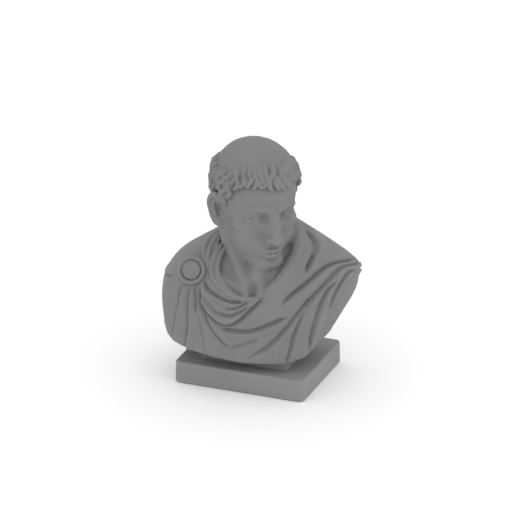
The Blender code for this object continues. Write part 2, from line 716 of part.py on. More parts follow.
def field_grid(field, spacing):
    """Field on an even grid, worked out afresh only near its surface."""
    low = np.array(ROOM_LOW)
    step = 4.0 * spacing
    counts = np.ceil((np.array(ROOM_HIGH) - low) / step).astype(int) + 1
    values = np.zeros(counts)
    for level in range(3):
        near = np.argwhere(np.abs(values) < (GRID_BAND * step if level else np.inf))
        for first in range(0, len(near), GRID_CHUNK):
            some = near[first:first + GRID_CHUNK]
            values[tuple(some.T)] = field(low + step * some)
        if level < 2:
            values = refined(values)
            step /= 2
    return low, values


def skin_points(low, spacing, values, cells):
    """One point in each cell, amid the places where its edges are crossed."""
    total = np.zeros((len(cells), 3))
    count = np.zeros(len(cells))
    for start in CORNERS:
        for axis in range(3):
            if start[axis]:
                continue
            end = start.copy()
            end[axis] = 1
            a = values[tuple((cells + start).T)]
            b = values[tuple((cells + end).T)]
            crossed = (a < 0) != (b < 0)
            share = a / np.where(crossed, a - b, 1)
            total += np.where(crossed[:, None], start + share[:, None] * (end - start), 0)
            count += crossed
    return low + spacing * (cells + total / count[:, None])


def skin_faces(inside, cell_number):
    """A four-sided face round every grid edge that passes the surface."""
    faces = []
    for axis in range(3):
        along = np.eye(3, dtype=int)[axis]
        a = np.eye(3, dtype=int)[(axis + 1) % 3]
        b = np.eye(3, dtype=int)[(axis + 2) % 3]
        before = inside[tuple(slice(0, n - k) for n, k in zip(inside.shape, along))]
        after = inside[tuple(slice(k, n) for n, k in zip(inside.shape, along))]
        spots = np.argwhere(before != after)
        ring = [cell_number[tuple((spots - way).T)] for way in (a + b, b, 0 * a, a)]
        face = np.column_stack(ring)
        turned = ~inside[tuple(spots.T)]
        face[turned] = face[turned][:, ::-1]
        faces.append(face)
    return np.concatenate(faces)


def skin_over(name, field, spacing, group):
    """Closed mesh drawn over the surface of a field."""
    low, values = field_grid(field, spacing)
    inside = values < 0
    mixed = np.zeros(np.array(inside.shape) - 1, int)
    for corner in CORNERS:
        mixed += inside[tuple(slice(k, n - 1 + k) for n, k in zip(inside.shape, corner))]
    cells = np.argwhere((mixed > 0) & (mixed < 8))
    cell_number = np.full(mixed.shape, -1)
    cell_number[tuple(cells.T)] = np.arange(len(cells))
    points = to_world(skin_points(low, spacing, values, cells))
    faces = skin_faces(inside, cell_number)
    mesh = bpy.data.meshes.new(name)
    mesh.from_pydata(points.tolist(), [], faces.tolist())
    item = bpy.data.objects.new(name, mesh)
    group.objects.link(item)
    return item


def head_share(points):
    """One on the head, falling to nought on the cloak."""
    return np.clip((points[:, 2] - 128) / 24, 0, 1)


def thin_out(item, limit):
    """Lower the triangle count, keeping more of them on the head."""
    points = read_points(item.data)
    group = item.vertex_groups.new(name="Thinning")
    weights = 1.0 - 0.55 * head_share(points)
    for level in np.unique(np.round(weights, 1)):
        chosen = np.flatnonzero(np.round(weights, 1) == level)
        group.add([int(i) for i in chosen], float(level), "REPLACE")
    item.data.calc_loop_triangles()
    thin = item.modifiers.new("Fewer triangles", "DECIMATE")
    thin.ratio = limit / len(item.data.loop_triangles)
    thin.vertex_group = group.name
    thin.vertex_group_factor = 0.00002
    thin.use_collapse_triangulate = True
    apply_all(item)
    item.vertex_groups.clear()


def keep_main_body(item):
    """Drop any crumbs left loose from the main body."""
    shape = bmesh.new()
    shape.from_mesh(item.data)
    waiting = set(shape.verts)
    bodies = []
    while waiting:
        body = {waiting.pop()}
        front = list(body)
        while front:
            for edge in front.pop().link_edges:
                for vertex in edge.verts:
                    if vertex in waiting:
                        waiting.discard(vertex)
                        body.add(vertex)
                        front.append(vertex)
        bodies.append(body)
    bodies.sort(key=len, reverse=True)
    crumbs = [vertex for body in bodies[1:] for vertex in body]
    bmesh.ops.delete(shape, geom=crumbs, context="VERTS")
    shape.to_mesh(item.data)
    shape.free()


def cut_flat(item, cutters):
    """Cut the block's foot level with the plinth's top."""
    bpy.ops.mesh.primitive_cube_add(size=1.0)
    cutter = bpy.context.object
    cutter.name = "Foot cutter"
    cutter.scale = (0.5, 0.5, 0.1)
    cutter.location = (0, 0, PLINTH_HEIGHT + FIT_GAP - 0.05)
    bpy.ops.object.transform_apply(location=True, rotation=True, scale=True)
    cutter.display_type = "WIRE"
    cutter.hide_render = True
    move_to(cutter, cutters)
    cut = item.modifiers.new("Flat foot", "BOOLEAN")
    cut.operation = "DIFFERENCE"
    cut.solver = "EXACT"
    cut.object = cutter
    apply_all(item)


def stone(name, shade):
    material = bpy.data.materials.new(name)
    material.use_nodes = True
    shader = material.node_tree.nodes["Principled BSDF"]
    shader.inputs["Base Color"].default_value = (shade, shade, shade, 1.0)
    shader.inputs["Roughness"].default_value = 0.8
    material.diffuse_color = (shade, shade, shade, 1.0)
    return material


def make_bust(group, cutters):
    item = skin_over("bust", bust_field, FIRST_SKIN, group)
    remesh(item, EVEN_SKIN)
    carve(item, 1, 0.4)
    keep_main_body(item)
    thin_out(item, TRIANGLE_LIMIT)
    cut_flat(item, cutters)
    keep_main_body(item)
    item.name = "bust"
    item.data.name = "bust"
    item.data.materials.clear()
    item.data.materials.append(stone("Carved grey stone", 0.23))
    return item


def make_plinth(group):
    bpy.ops.mesh.primitive_cube_add(size=1.0)
    item = bpy.context.object
    item.name = "plinth"
    item.data.name = "plinth"
    for vertex in item.data.vertices:
        inward = PLINTH_TAPER if vertex.co.z > 0 else 0.0
        vertex.co.x *= PLINTH_WIDTH - 2 * inward
        vertex.co.y *= PLINTH_DEPTH - 2 * inward
        vertex.co.z = (vertex.co.z + 0.5) * PLINTH_HEIGHT
    upright = item.data.attributes.new("bevel_weight_edge", "FLOAT", "EDGE")
    for edge in item.data.edges:
        low, high = (item.data.vertices[i].co.z for i in edge.vertices)
        upright.data[edge.index].value = 1.0 if abs(low - high) > PLINTH_HEIGHT / 2 else 0.0
    corners = item.modifiers.new("Corners", "BEVEL")
    corners.limit_method = "WEIGHT"
    corners.width = PLINTH_CORNER
    corners.segments = 8
    edges = item.modifiers.new("Edges", "BEVEL")
    edges.limit_method = "ANGLE"
    edges.angle_limit = math.radians(40)
    edges.width = PLINTH_EDGE
    edges.segments = 4
    apply_all(item)
    item.data.materials.append(stone("Plain grey stone", 0.23))
    move_to(item, group)
    return item


def main():
    clear_scene()
    group = collection("Roman emperor bust")
    cutters = collection("Cutters", hidden=True)
    make_plinth(group)
    make_bust(group, cutters)


main()
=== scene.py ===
"""Life-size portrait bust of a Roman emperor in a military cloak, carved in
grey stone, on its rectangular plinth."""

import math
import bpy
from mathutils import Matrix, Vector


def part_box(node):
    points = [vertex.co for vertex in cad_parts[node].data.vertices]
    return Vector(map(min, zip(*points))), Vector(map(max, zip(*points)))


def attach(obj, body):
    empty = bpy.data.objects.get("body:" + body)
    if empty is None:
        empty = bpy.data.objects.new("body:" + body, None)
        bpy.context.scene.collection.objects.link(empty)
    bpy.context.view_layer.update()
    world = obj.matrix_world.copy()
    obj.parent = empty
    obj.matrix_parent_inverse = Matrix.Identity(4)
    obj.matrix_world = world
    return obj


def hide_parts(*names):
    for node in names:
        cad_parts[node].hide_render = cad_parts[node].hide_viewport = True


bl_info = {
    "name": "Roman Emperor Bust",
    "blender": (4, 5, 0),
    "version": (1, 0, 0),
    "location": "3D View > Sidebar > Bust",
    "description": "Carves a life-size Roman portrait bust and dresses its stone",
    "category": "Object",
}

import bmesh
import bpy
import numpy as np

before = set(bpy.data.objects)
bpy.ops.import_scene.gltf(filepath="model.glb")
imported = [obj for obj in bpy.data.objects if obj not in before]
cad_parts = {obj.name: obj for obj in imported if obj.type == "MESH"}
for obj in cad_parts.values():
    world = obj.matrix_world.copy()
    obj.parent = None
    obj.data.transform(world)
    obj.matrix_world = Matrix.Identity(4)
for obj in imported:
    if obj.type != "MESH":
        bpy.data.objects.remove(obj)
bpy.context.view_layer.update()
PLINTH_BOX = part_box("plinth")
BUST_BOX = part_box("bust")
FOOT_LEVEL = float(BUST_BOX[0][2])

# The bust is laid out in parts, counted up from the plinth's underside
PARTS_TALL = 226.35
STAND_LEVEL = 22.75

# Turn and tilt of the chest and the head, in degrees
CHEST_YAW = 10.0
HEAD_YAW = 47.0
HEAD_NOD = 8.0
HEAD_LEAN = 1.0
HEAD_CENTRE = (0.0, -6.0, 191.5)

# Chest sections: height, figure's right side, left side, front, back
SECTIONS = (
    (18, -76, 56, -51, 23),
    (30, -84, 65, -55, 28),
    (40, -89.5, 72, -57, 32),
    (55, -94, 81, -58, 36),
    (75, -96.5, 92, -57, 39),
    (92, -96, 101, -53, 41),
    (105, -93, 105, -48, 42),
    (118, -85, 104, -41, 42),
    (128, -75, 94, -34, 41),
    (138, -60, 79, -26, 39),
    (148, -44, 62, -17, 37),
    (158, -30, 44, -9, 34),
    (166, -19, 29, -2, 30),
    (172, -6, 12, 6, 22),
)
SECTION_SPINE = 2.0

# How square the sections are in front, more so below near the hem, and behind
FRONT_POWER, HEM_POWER, BACK_POWER = 2.35, 0.45, 2.6
HEM_SQUARE_TO, HEM_SQUARE_OVER = 60.0, 25.0

# The arm is cut off on a plane: the way it faces, and a point on it
ARM_CUT_NORMAL = (0.90, -0.20, -0.39)
ARM_CUT_POINT = (101.0, 8.0, 117.0)

# Underside of the carved cloak, and the block it stands on
HEM_LEVEL = 33.2
HEM_RISE_FROM = 38.0
HEM_RISE = 0.28
HEM_RIGHT_FROM = -8.0
HEM_RIGHT_RISE = 0.14
FOOT_LEFT, FOOT_RIGHT = -47.5, 45.0
FOOT_FRONT, FOOT_BACK = -36.0, 22.0
FOOT_TOP = 44.0
FOOT_CORNER = 3.0
FOOT_SPARE = 6.0

# Slanting oval opening of the cloak round the neck
OPENING_CENTRE = (2.5, -18.0, 140.0)
OPENING_SLANT = 51.0
OPENING_HALF_WIDTH = 39.0
OPENING_HALF_LENGTH = 49.5
SKIN_INSET = 5.0

# Round brooch on the figure's right shoulder
BROOCH_CENTRE = (-60.5, -34.5, 120.2)
BROOCH_FACING = (-0.12, -0.88, 0.46)
BROOCH_RADIUS = 14.4
BROOCH_THICKNESS = 9.0
BROOCH_GROOVE = 10.2
BROOCH_RAYS = 12

# Middle of the chest that the folds are laid out from, the width of the step
# in a fold, how many breadths a fold reaches sideways, and how near to the
# chest's surface a point has to be for the folds to matter
FOLD_CENTRE = (0.0, 0.0, 75.0)
STEP_WIDTH = 0.75
FOLD_REACH = 3.2
FOLD_SHELL = 12.0

# Levels where the cloak's collar and the neck's skin are cut off, inside
CLOAK_TOP = 169.0
SKIN_TOP, SKIN_BOTTOM = 164.0, 60.0

# Room the stone takes up, low and high corner, in parts
ROOM_LOW = (-114.0, -76.0, 8.0)
ROOM_HIGH = (124.0, 72.0, 262.0)

# How far from the surface, in grid steps, the field is worked out afresh
GRID_BAND = 1.9
GRID_CHUNK = 100000


def blend_min(a, b, soft):
    share = np.clip(0.5 + 0.5 * (b - a) / soft, 0.0, 1.0)
    return b + (a - b) * share - soft * share * (1.0 - share)


def blend_max(a, b, soft):
    return -blend_min(-a, -b, soft)


def turn(yaw, nod=0.0, lean=0.0):
    y, n, r = (math.radians(angle) for angle in (yaw, nod, lean))
    about_z = np.array([[math.cos(y), -math.sin(y), 0], [math.sin(y), math.cos(y), 0], [0, 0, 1]])
    about_x = np.array([[1, 0, 0], [0, math.cos(n), -math.sin(n)], [0, math.sin(n), math.cos(n)]])
    about_y = np.array([[math.cos(r), 0, math.sin(r)], [0, 1, 0], [-math.sin(r), 0, math.cos(r)]])
    return about_z @ about_x @ about_y


CHEST_TURN = turn(CHEST_YAW)
HEAD_TURN = turn(HEAD_YAW, HEAD_NOD, HEAD_LEAN)


def ellipsoid(p, centre, radii):
    q = p - np.asarray(centre, float)
    radii = np.asarray(radii, float)
    near = np.sqrt(((q / radii) ** 2).sum(1)) + 1e-9
    slope = np.sqrt(((q / radii**2) ** 2).sum(1)) + 1e-9
    return near * (near - 1.0) / slope


def dent(p, centre, radii, depth):
    q = (p - np.asarray(centre, float)) / np.asarray(radii, float)
    return depth * np.exp(-(q * q).sum(1))


def rod(p, start, end, start_radius, end_radius):
    a = np.asarray(start, float)
    along = np.asarray(end, float) - a
    t = np.clip((p - a) @ along / (along @ along), 0.0, 1.0)
    off = np.linalg.norm(p - a - t[:, None] * along, axis=1)
    return off - (start_radius + (end_radius - start_radius) * t)


def built_up(f, p, masses):
    """Add rounded masses one by one. Each is how softly it joins, then an
    ellipsoid's centre and radii, or a rod's two ends and two radii."""
    for soft, *form in masses:
        mass = ellipsoid(p, *form) if len(form) == 2 else rod(p, *form)
        f = blend_min(f, mass, soft)
    return f


def curve_through(points, steps=6):
    pts = np.asarray(points, float)
    pts = np.vstack([2 * pts[0] - pts[1], pts, 2 * pts[-1] - pts[-2]])
    out = []
    for i in range(1, len(pts) - 2):
        a, b, c, d = pts[i - 1 : i + 3]
        for t in np.linspace(0, 1, steps, endpoint=False):
            bend = 2 * a - 5 * b + 4 * c - d
            kick = 3 * b - a - 3 * c + d
            out.append(0.5 * (2 * b + (c - a) * t + bend * t**2 + kick * t**3))
    out.append(pts[-2])
    return np.array(out)


def nearest_on(path, p):
    """Distance from each point to the path, the share of the way along it,
    the nearest place on it and the path's direction there."""
    steps = np.diff(path, axis=0)
    lengths = np.linalg.norm(steps, axis=1)
    total = lengths.sum()
    far = np.full(len(p), 1e9)
    share = np.zeros(len(p))
    foot = np.zeros_like(p)
    along = np.zeros_like(p)
    run = 0.0
    for start, step, length in zip(path[:-1], steps, lengths):
        t = np.clip((p - start) @ step / (length * length), 0.0, 1.0)
        at = start + t[:, None] * step
        off = np.linalg.norm(p - at, axis=1)
        closer = off < far
        far[closer] = off[closer]
        share[closer] = (run + t[closer] * length) / total
        foot[closer] = at[closer]
        along[closer] = step / length
        run += length
    return far, share, foot, along


def close_to(p, path, reach):
    low = path.min(0) - reach
    high = path.max(0) + reach
    return np.flatnonzero(((p > low) & (p < high)).all(1))


SECTION_TABLE = curve_through(SECTIONS, 8)


def chest_section(p):
    """Below zero inside the chest's rounded section at the point's height."""
    z = np.clip(p[:, 2], SECTION_TABLE[0, 0], SECTION_TABLE[-1, 0])
    right, left, front, back = (
        np.interp(z, SECTION_TABLE[:, 0], SECTION_TABLE[:, k]) for k in range(1, 5)
    )
    middle = (right + left) / 2
    half = (left - right) / 2
    spine = np.minimum(np.maximum(SECTION_SPINE, front + 4), back - 4)
    fore = p[:, 1] < spine
    deep = np.where(fore, spine - front, back - spine)
    squareness = np.clip((HEM_SQUARE_TO - z) / HEM_SQUARE_OVER, 0, 1)
    power = np.where(fore, FRONT_POWER + HEM_POWER * squareness, BACK_POWER)
    across = np.abs(p[:, 0] - middle) / half
    through = np.abs(p[:, 1] - spine) / deep
    return (across**power + through**power + 1e-12) ** (1 / power) - 1


def chest(p):
    inside = chest_section(p)
    slope = np.zeros(len(p))
    for k in range(3):
        step = np.zeros(3)
        step[k] = 0.5
        slope += ((chest_section(p + step) - inside) / 0.5) ** 2
    return inside / np.maximum(np.sqrt(slope), 0.004)


def on_chest(azimuth, elevation):
    """Point of the chest's surface seen from its middle in this direction."""
    a, e = math.radians(azimuth), math.radians(elevation)
    way = np.array([math.sin(a) * math.cos(e), -math.cos(a) * math.cos(e), math.sin(e)])
    reach = np.linspace(20, 130, 441)
    ray = np.array(FOLD_CENTRE) + reach[:, None] * way
    value = chest_section(ray)
    k = np.flatnonzero(value > 0)[0]
    share = value[k - 1] / (value[k - 1] - value[k])
    return ray[k - 1] + share * (ray[k] - ray[k - 1])


# Cloak folds run between directions seen from the middle of the chest.
# Each is its directions, the height of its lip, the depth of its crease,
# the breadth of both, and the side of its lip.
BROOCH_FALLS = (
    (((-64, 22), (-61, 8), (-62, -6), (-66, -24)), 1.4, 3.0, 3.6, 1),
    (((-58, 23), (-53, 8), (-51, -8), (-53, -30)), 2.0, 4.2, 4.2, 1),
    (((-54, 25), (-49, 14), (-46, 4)), 1.4, 3.0, 3.0, 1),
    (((-51, 27), (-42, 11), (-31, -7), (-16, -24)), 2.0, 3.6, 4.4, 1),
    (((-45, 7), (-41, -8), (-38, -20), (-34, -36)), 0.6, 1.0, 3.5, 1),
    (((-16, -24), (-2, -20), (14, -14)), 0.9, 1.4, 4.0, -1),
    (((-74, 20), (-74, 4), (-78, -16)), 0.9, 1.8, 4.0, 1),
)
NECK_SWAGS = (
    (((-53, 33), (-45, 26), (-30, 22), (-14, 21), (-3, 25)), 1.8, 3.6, 3.2, -1),
    (((-25, 14), (-17, 14), (-8, 18), (2, 24)), 1.2, 2.6, 2.6, -1),
    (((-49, 24), (-40, 16), (-31, 9), (-18, 7), (-8, 12), (6, 23)), 1.3, 2.6, 2.8, -1),
    (((-50, 27), (-39, 11), (-25, 0), (-13, 2), (4, 19), (24, 36)), 2.8, 3.0, 4.6, 1),
    (((-28, -2), (-20, -7), (3, -7), (25, 2), (40, 10)), 2.0, 3.2, 4.6, -1),
)
SHOULDER_FAN = (
    (((100, 28), (92, 29), (74, 35), (56, 31), (40, 24), (31, 16)), 1.6, 3.8, 5.5, 1),
    (((106, 23), (92, 26), (77, 30), (59, 22), (46, 10), (22, -20), (-8, -38)), 1.6, 2.6, 5.0, 1),
    (((60, 23), (52, 15), (45, 0), (40, -26), (37, -39)), 1.4, 2.6, 3.6, 1),
    (((74, 27), (64, 20), (58, 4), (57, -16), (61, -34)), 1.8, 3.2, 4.4, 1),
    (((112, 17), (91, 23), (80, 26), (69, 18), (67, 4), (72, -14)), 1.4, 2.8, 4.0, 1),
)
COLLAR_FOLDS = (
    (((96, 61), (89, 54), (80, 48), (70, 44), (58, 38)), 1.4, 4.2, 4.6, 1),
    (((72, 52), (61, 50), (48, 46)), 0.9, 1.8, 3.2, 1),
    (((-96, 17), (-84, 17), (-72, 22)), 0.8, 1.8, 3.0, 1),
)

# Rolls of cloth are tubes laid on the chest: directions, radius, sink,
# and how softly they rise from the cloth
ROLLS = (
    (((-87, 64), (-83, 56), (-75, 50), (-66, 46), (-55, 40)), 3.3, 0.7, 1.0),
    (((-83, 68), (-77, 59), (-68, 52), (-60, 46), (-52, 39)), 2.8, 0.4, 1.0),
    (
        ((-67, 66), (-62, 58), (-56, 49), (-50, 41), (-40, 35), (-22, 29), (-4, 27), (12, 30)),
        2.9, 0.6, 1.0,
    ),
    (((-60, 66), (-55, 57), (-49, 48), (-43, 41), (-35, 36), (-22, 31), (-12, 29)), 2.5, 1.5, 1.0),
    (((92, 68), (84, 62), (72, 55), (59, 50), (43, 42), (24, 33), (8, 28)), 8.0, 6.6, 3.0),
    (((112, 62), (104, 57), (96, 52), (86, 46), (74, 40)), 8.0, 6.4, 3.0),
)

BACK_FOLD_COUNT = 6


def back_folds():
    """Broad slanting folds across the cloak's back."""
    folds = []
    for i in range(BACK_FOLD_COUNT):
        share = i / (BACK_FOLD_COUNT - 1)
        start = (112 + 10 * share, 34 - 30 * share)
        middle = (172 + 6 * share, 12 - 34 * share)
        end = (248 - 14 * share, 24 - 52 * share)
        folds.append(((start, middle, end), 2.2, 2.6, 6.0, 1))
    return folds


def lay(directions, steps=10):
    curve = curve_through(directions, steps)
    return np.array([on_chest(a, e) for a, e in curve])


FOLDS = [
    (lay(directions), lip, crease, breadth, side)
    for directions, lip, crease, breadth, side in (
        *BROOCH_FALLS, *NECK_SWAGS, *SHOULDER_FAN, *COLLAR_FOLDS, *back_folds()
    )
]
ROLL_PATHS = [(lay(directions), radius, sink, soft) for directions, radius, sink, soft in ROLLS]


def fold_height(p):
    """Rise of the cloth at each point: a rounded lip stands over a hollow
    with a steep step between them, dying away towards the fold's ends."""
    rise = np.zeros(len(p))
    for path, lip, crease, breadth, side in FOLDS:
        idx = close_to(p, path, FOLD_REACH * breadth)
        if not len(idx):
            continue
        off, share, foot, along = nearest_on(path, p[idx])
        out = foot - np.array(FOLD_CENTRE)
        across = np.cross(out, along)
        across /= np.linalg.norm(across, axis=1)[:, None] + 1e-9
        d = side * ((p[idx] - foot) * across).sum(1)
        fade = np.clip(np.minimum(share, 1 - share) * 6, 0, 1)
        fade = fade * fade * (3 - 2 * fade)
        fade *= np.clip((FOLD_REACH * breadth - off) / breadth, 0, 1)
        wide = breadth * (0.45 + 0.55 * fade)
        over = 0.5 + 0.5 * np.tanh(d / STEP_WIDTH)
        raised = 1.1 * lip * np.exp(-(((d - 0.3 * wide) / (1.0 * wide)) ** 2))
        sunk = 1.9 * crease * np.exp(-((np.abs(d) / (0.40 * wide)) ** 1.2))
        rise[idx] += fade * (over * raised - (1 - over) * sunk)
    return rise


def cloak(p):
    body = chest(p)
    shell = np.flatnonzero(np.abs(body) < FOLD_SHELL)
    body[shell] -= fold_height(p[shell])
    normal = np.array(ARM_CUT_NORMAL)
    normal /= np.linalg.norm(normal)
    body = blend_max(body, (p - np.array(ARM_CUT_POINT)) @ normal, 1.4)
    hem = HEM_LEVEL + HEM_RISE * np.maximum(p[:, 0] - HEM_RISE_FROM, 0)
    hem += HEM_RIGHT_RISE * np.maximum(HEM_RIGHT_FROM - p[:, 0], 0)
    body = blend_max(body, hem - p[:, 2], 2.2)
    q = p - np.array(OPENING_CENTRE)
    slant = math.radians(OPENING_SLANT)
    up_slope = q[:, 1] * math.cos(slant) + q[:, 2] * math.sin(slant)
    ahead = q[:, 2] * math.cos(slant) - q[:, 1] * math.sin(slant)
    oval = np.hypot(q[:, 0] / OPENING_HALF_WIDTH, up_slope / OPENING_HALF_LENGTH) - 1
    opening = np.maximum(oval * OPENING_HALF_WIDTH, -14 - ahead)
    body = blend_max(body, -opening, 2.0)
    body = np.maximum(body, p[:, 2] - CLOAK_TOP)
    for path, radius, sink, soft in ROLL_PATHS:
        idx = close_to(p, path, radius + 10)
        if not len(idx):
            continue
        out = path - np.array(FOLD_CENTRE)
        out /= np.linalg.norm(out, axis=1)[:, None]
        off, share = nearest_on(path - sink * out, p[idx])[:2]
        thin = np.clip(np.minimum(share, 1 - share) * 4 + 0.35, 0, 1)
        body[idx] = blend_min(body[idx], off - radius * thin, soft)
    return body


# Notch between the collar bones
NOTCH = (3.5, -46.0, 105.0)


def neck(p):
    q = p @ CHEST_TURN
    body = rod(q, (-6, 8, 176), (3, -5, 104), 31, 33)
    ends = np.maximum(q[:, 2] - SKIN_TOP, SKIN_BOTTOM - q[:, 2])
    skin = np.maximum(chest(q) + SKIN_INSET, ends)
    body = blend_min(body, skin, 9.0)
    for side, foot in ((-1, (-1.5, -44.0, 104.0)), (1, (9.5, -43.5, 105.0))):
        head_end = np.array(HEAD_CENTRE) + HEAD_TURN @ np.array((side * 27.0, 13.0, -26.0))
        head_end = head_end @ CHEST_TURN
        body = blend_min(body, rod(q, head_end, foot, 8.0, 4.6), 6.0)
    body = blend_min(body, rod(q, (12, -26, 146), (5, -38, 118), 10, 6), 6.0)
    body = blend_max(body, -ellipsoid(q, (NOTCH[0], NOTCH[1] - 2.5, NOTCH[2] + 5), (5, 6, 10)), 4.0)
    for side in (-1, 1):
        collar_bone = rod(q, (4 + 8 * side, -43, 103), (4 + 42 * side, -33, 118), 3.2, 3.2)
        body = blend_min(body, collar_bone, 6.0)
    return body


# Head, in parts from the middle of the head at eye level, facing -Y
SKULL_CENTRE, SKULL_RADII = (0, 6, 16.5), (37.5, 48.0, 38.5)
CAP_CENTRE, CAP_RADII = (0, 6.5, 16.5), (41.7, 52.0, 41.4)
CROWN_LEAN, CROWN_LEAN_FROM = 0.085, 4.0

# Lower edge of the hair: angle from the face, height
HAIRLINE = (
    (0, 33), (38, 33), (54, 29), (64, 17), (72, 3), (79, 2),
    (86, 13), (100, 14), (110, 2), (124, -24), (180, -31),
)

EAR_CENTRE = (41.0, 3.5, -7.5)
EAR_SPLAY = 38.0
EAR_ROOM = 28.0


def eye(f, m):
    f = blend_max(f, -ellipsoid(m, (16.3, -43.0, -0.5), (10.0, 9.0, 7.2)), 4.0)
    f = blend_min(f, ellipsoid(m, (15.8, -30.2, -0.6), (7.4, 7.4, 7.4)), 0.8)
    lids = ellipsoid(m, (15.8, -30.2, -0.6), (9.2, 8.9, 8.6))
    bow = 1 - ((m[:, 0] - 16) / 8.0) ** 2
    slit = np.maximum(m[:, 2] - 0.4 - 2.6 * bow, -0.8 - 2.9 * bow - m[:, 2])
    slit = np.maximum(slit, np.abs(m[:, 0] - 16) - 8.2)
    return blend_min(f, blend_max(lids, -slit, 0.8), 2.2)


# Bridge, root, tip and wing
NOSE_MASSES = (
    (5.0, (0, -40.5, 3), (0, -51.8, -19), 3.4, 4.2),
    (5.0, (0, -40, -15), (8.5, 8.5, 14)),
    (4.0, (0, -51.6, -20.6), (5.2, 5.4, 5.0)),
    (3.0, (6.0, -46.0, -22.6), (3.5, 5.2, 3.8)),
)


def nose(f, m):
    f = built_up(f, m, NOSE_MASSES)
    return f + dent(m, (3.6, -49.5, -26.6), (1.9, 3.2, 2.4), 1.8)


UPPER_LIP = curve_through(
    ((13, -39.6, -37.0), (8, -43.8, -36.0), (3, -46.6, -34.8), (0, -46.6, -35.2)), 4
)
LOWER_LIP = curve_through(((12, -40.4, -38.0), (6, -44.4, -40.2), (0, -45.8, -41.0)), 4)
MOUTH_LINE = curve_through(((14, -40.2, -37.2), (8, -45.4, -37.6), (0, -49.0, -37.5)), 4)


def mouth(f, m):
    off, share = nearest_on(UPPER_LIP, m)[:2]
    f = blend_min(f, off - (1.2 + 1.3 * share), 2.0)
    off, share = nearest_on(LOWER_LIP, m)[:2]
    f = blend_min(f, off - (1.2 + 1.9 * share), 2.0)
    off = nearest_on(MOUTH_LINE, m)[0]
    f = f + 1.5 * np.exp(-((off / 1.3) ** 2))
    return blend_max(f, -ellipsoid(m, (0, -49.0, -46.2), (9, 4.6, 2.8)), 3.0)


# Lobe, the little flap before the hollow, and the inner fold
EAR_MASSES = (
    (2.0, (-3.4, -14.2, 0), (3.6, 4.4, 2.6)),
    (1.6, (-7.4, -2, 1.0), (2.0, 3.2, 2.4)),
    (1.6, (0.8, -6, 0.6), (3.2, 6, 0.8), 1.4, 1.3),
)


def ear(f, m):
    e = m - np.array(EAR_CENTRE)
    splay = math.radians(EAR_SPLAY)
    back_way = np.array((math.sin(splay), math.cos(splay), 0))
    out_way = np.array((back_way[1], -back_way[0], 0))
    b = e[:, 2]
    a = e @ back_way - 0.14 * b
    c = e @ out_way
    flat = np.column_stack([a, b, c])
    f = blend_min(f, ellipsoid(flat, (-3.5, -1, -4.5), (6.5, 10, 6)), 3.0)
    f = blend_min(f, ellipsoid(flat, (0.3, 1, -1.2), (8.4, 14.5, 3.0)), 1.5)
    f = blend_max(f, -ellipsoid(flat, (-1.5, 0, 3.0), (5.2, 9.5, 4.8)), 1.2)
    wide = 7.5 + 0.9 * np.tanh((b - 1) / 4)
    ring = np.hypot(a / wide, (b - 1) / 14.5)
    rim = np.hypot((ring - 1) * wide * 0.95, c - 0.9) - 1.9
    rim = np.maximum(rim, -3.0 - a - np.maximum(b - 6, 0))
    f = blend_min(f, rim, 1.2)
    return built_up(f, flat, EAR_MASSES)


def scalp(azimuth, height, lift=0.0):
    """Point of the hair's outer surface at this angle from the face."""
    a = math.radians(azimuth)
    wide, deep, tall = (radius + lift for radius in CAP_RADII)
    round_off = math.sqrt(max(1 - ((height - CAP_CENTRE[2]) / tall) ** 2, 0.02))
    reach = round_off / math.hypot(math.sin(a) / wide, math.cos(a) / deep)
    return np.array((reach * math.sin(a), CAP_CENTRE[1] - reach * math.cos(a), height))


def upright_crown(h):
    """Head coordinates with the crown's slight lean to the left taken out."""
    upright = h.copy()
    upright[:, 0] -= CROWN_LEAN * np.maximum(h[:, 2] - CROWN_LEAN_FROM, 0)
    return upright


def hairline_height(azimuth):
    return float(np.interp(abs(azimuth), *zip(*HAIRLINE)))


# Bands of hair: from and to (degrees from the face), spacing in degrees,
# step up between rows, length and thickness of a lock, and its hook
LOCK_BANDS = (
    (0, 52, 8.6, 6.6, 8.4, 3.5, 6.5),
    (52, 106, 8.6, 6.8, 7.6, 3.3, 6.0),
    (106, 180, 11.5, 10.5, 12.0, 4.3, 7.0),
)
# Height where the locks give way to the smooth crown: angle, height
LOCKS_TOP = ((0, 50), (52, 47), (106, 34), (180, 24))


def hair_locks():
    """Comma-shaped locks in staggered rows from the hairline up to the
    crown, low where they meet it, with ring curls among the lowest."""
    locks = []
    for first, last, spacing, climb, length, thickness, hook in LOCK_BANDS:
        count = int(round((last - first) / spacing))
        for column in range(count):
            for side in (-1, 1):
                turned = first + (column + 0.5) * (last - first) / count
                tip = hairline_height(turned) - 1.5
                top = float(np.interp(turned, *zip(*LOCKS_TOP)))
                row = 0
                while tip < top - 6.5:
                    vary = math.sin(12.9 * column + 4.1 * row + 2.3 * side)
                    azimuth = side * (turned + 0.25 * spacing * (1 if row % 2 else -1))
                    bend = hook * (1 + 0.4 * vary) * (1 if (row + (azimuth > -14)) % 2 else -1)
                    near_top = min(max((tip + 15 - top) / 12, 0), 1)
                    lift = -0.8 - 2.2 * near_top
                    size = thickness * (1 + 0.12 * vary)
                    if row == 0 and column % 4 == 2:
                        locks.append(ring_curl(azimuth, tip + 4.5, 0.8 * size, lift))
                    else:
                        root = tip + length * (1 + 0.2 * vary)
                        points = []
                        for t in np.linspace(0, 1, 5):
                            swing = azimuth + bend * (t * t - 0.35)
                            points.append(scalp(swing, root + (tip - root) * t, lift))
                        locks.append((np.array(points), size, 0.72))
                    tip += climb
                    row += 1
    return locks


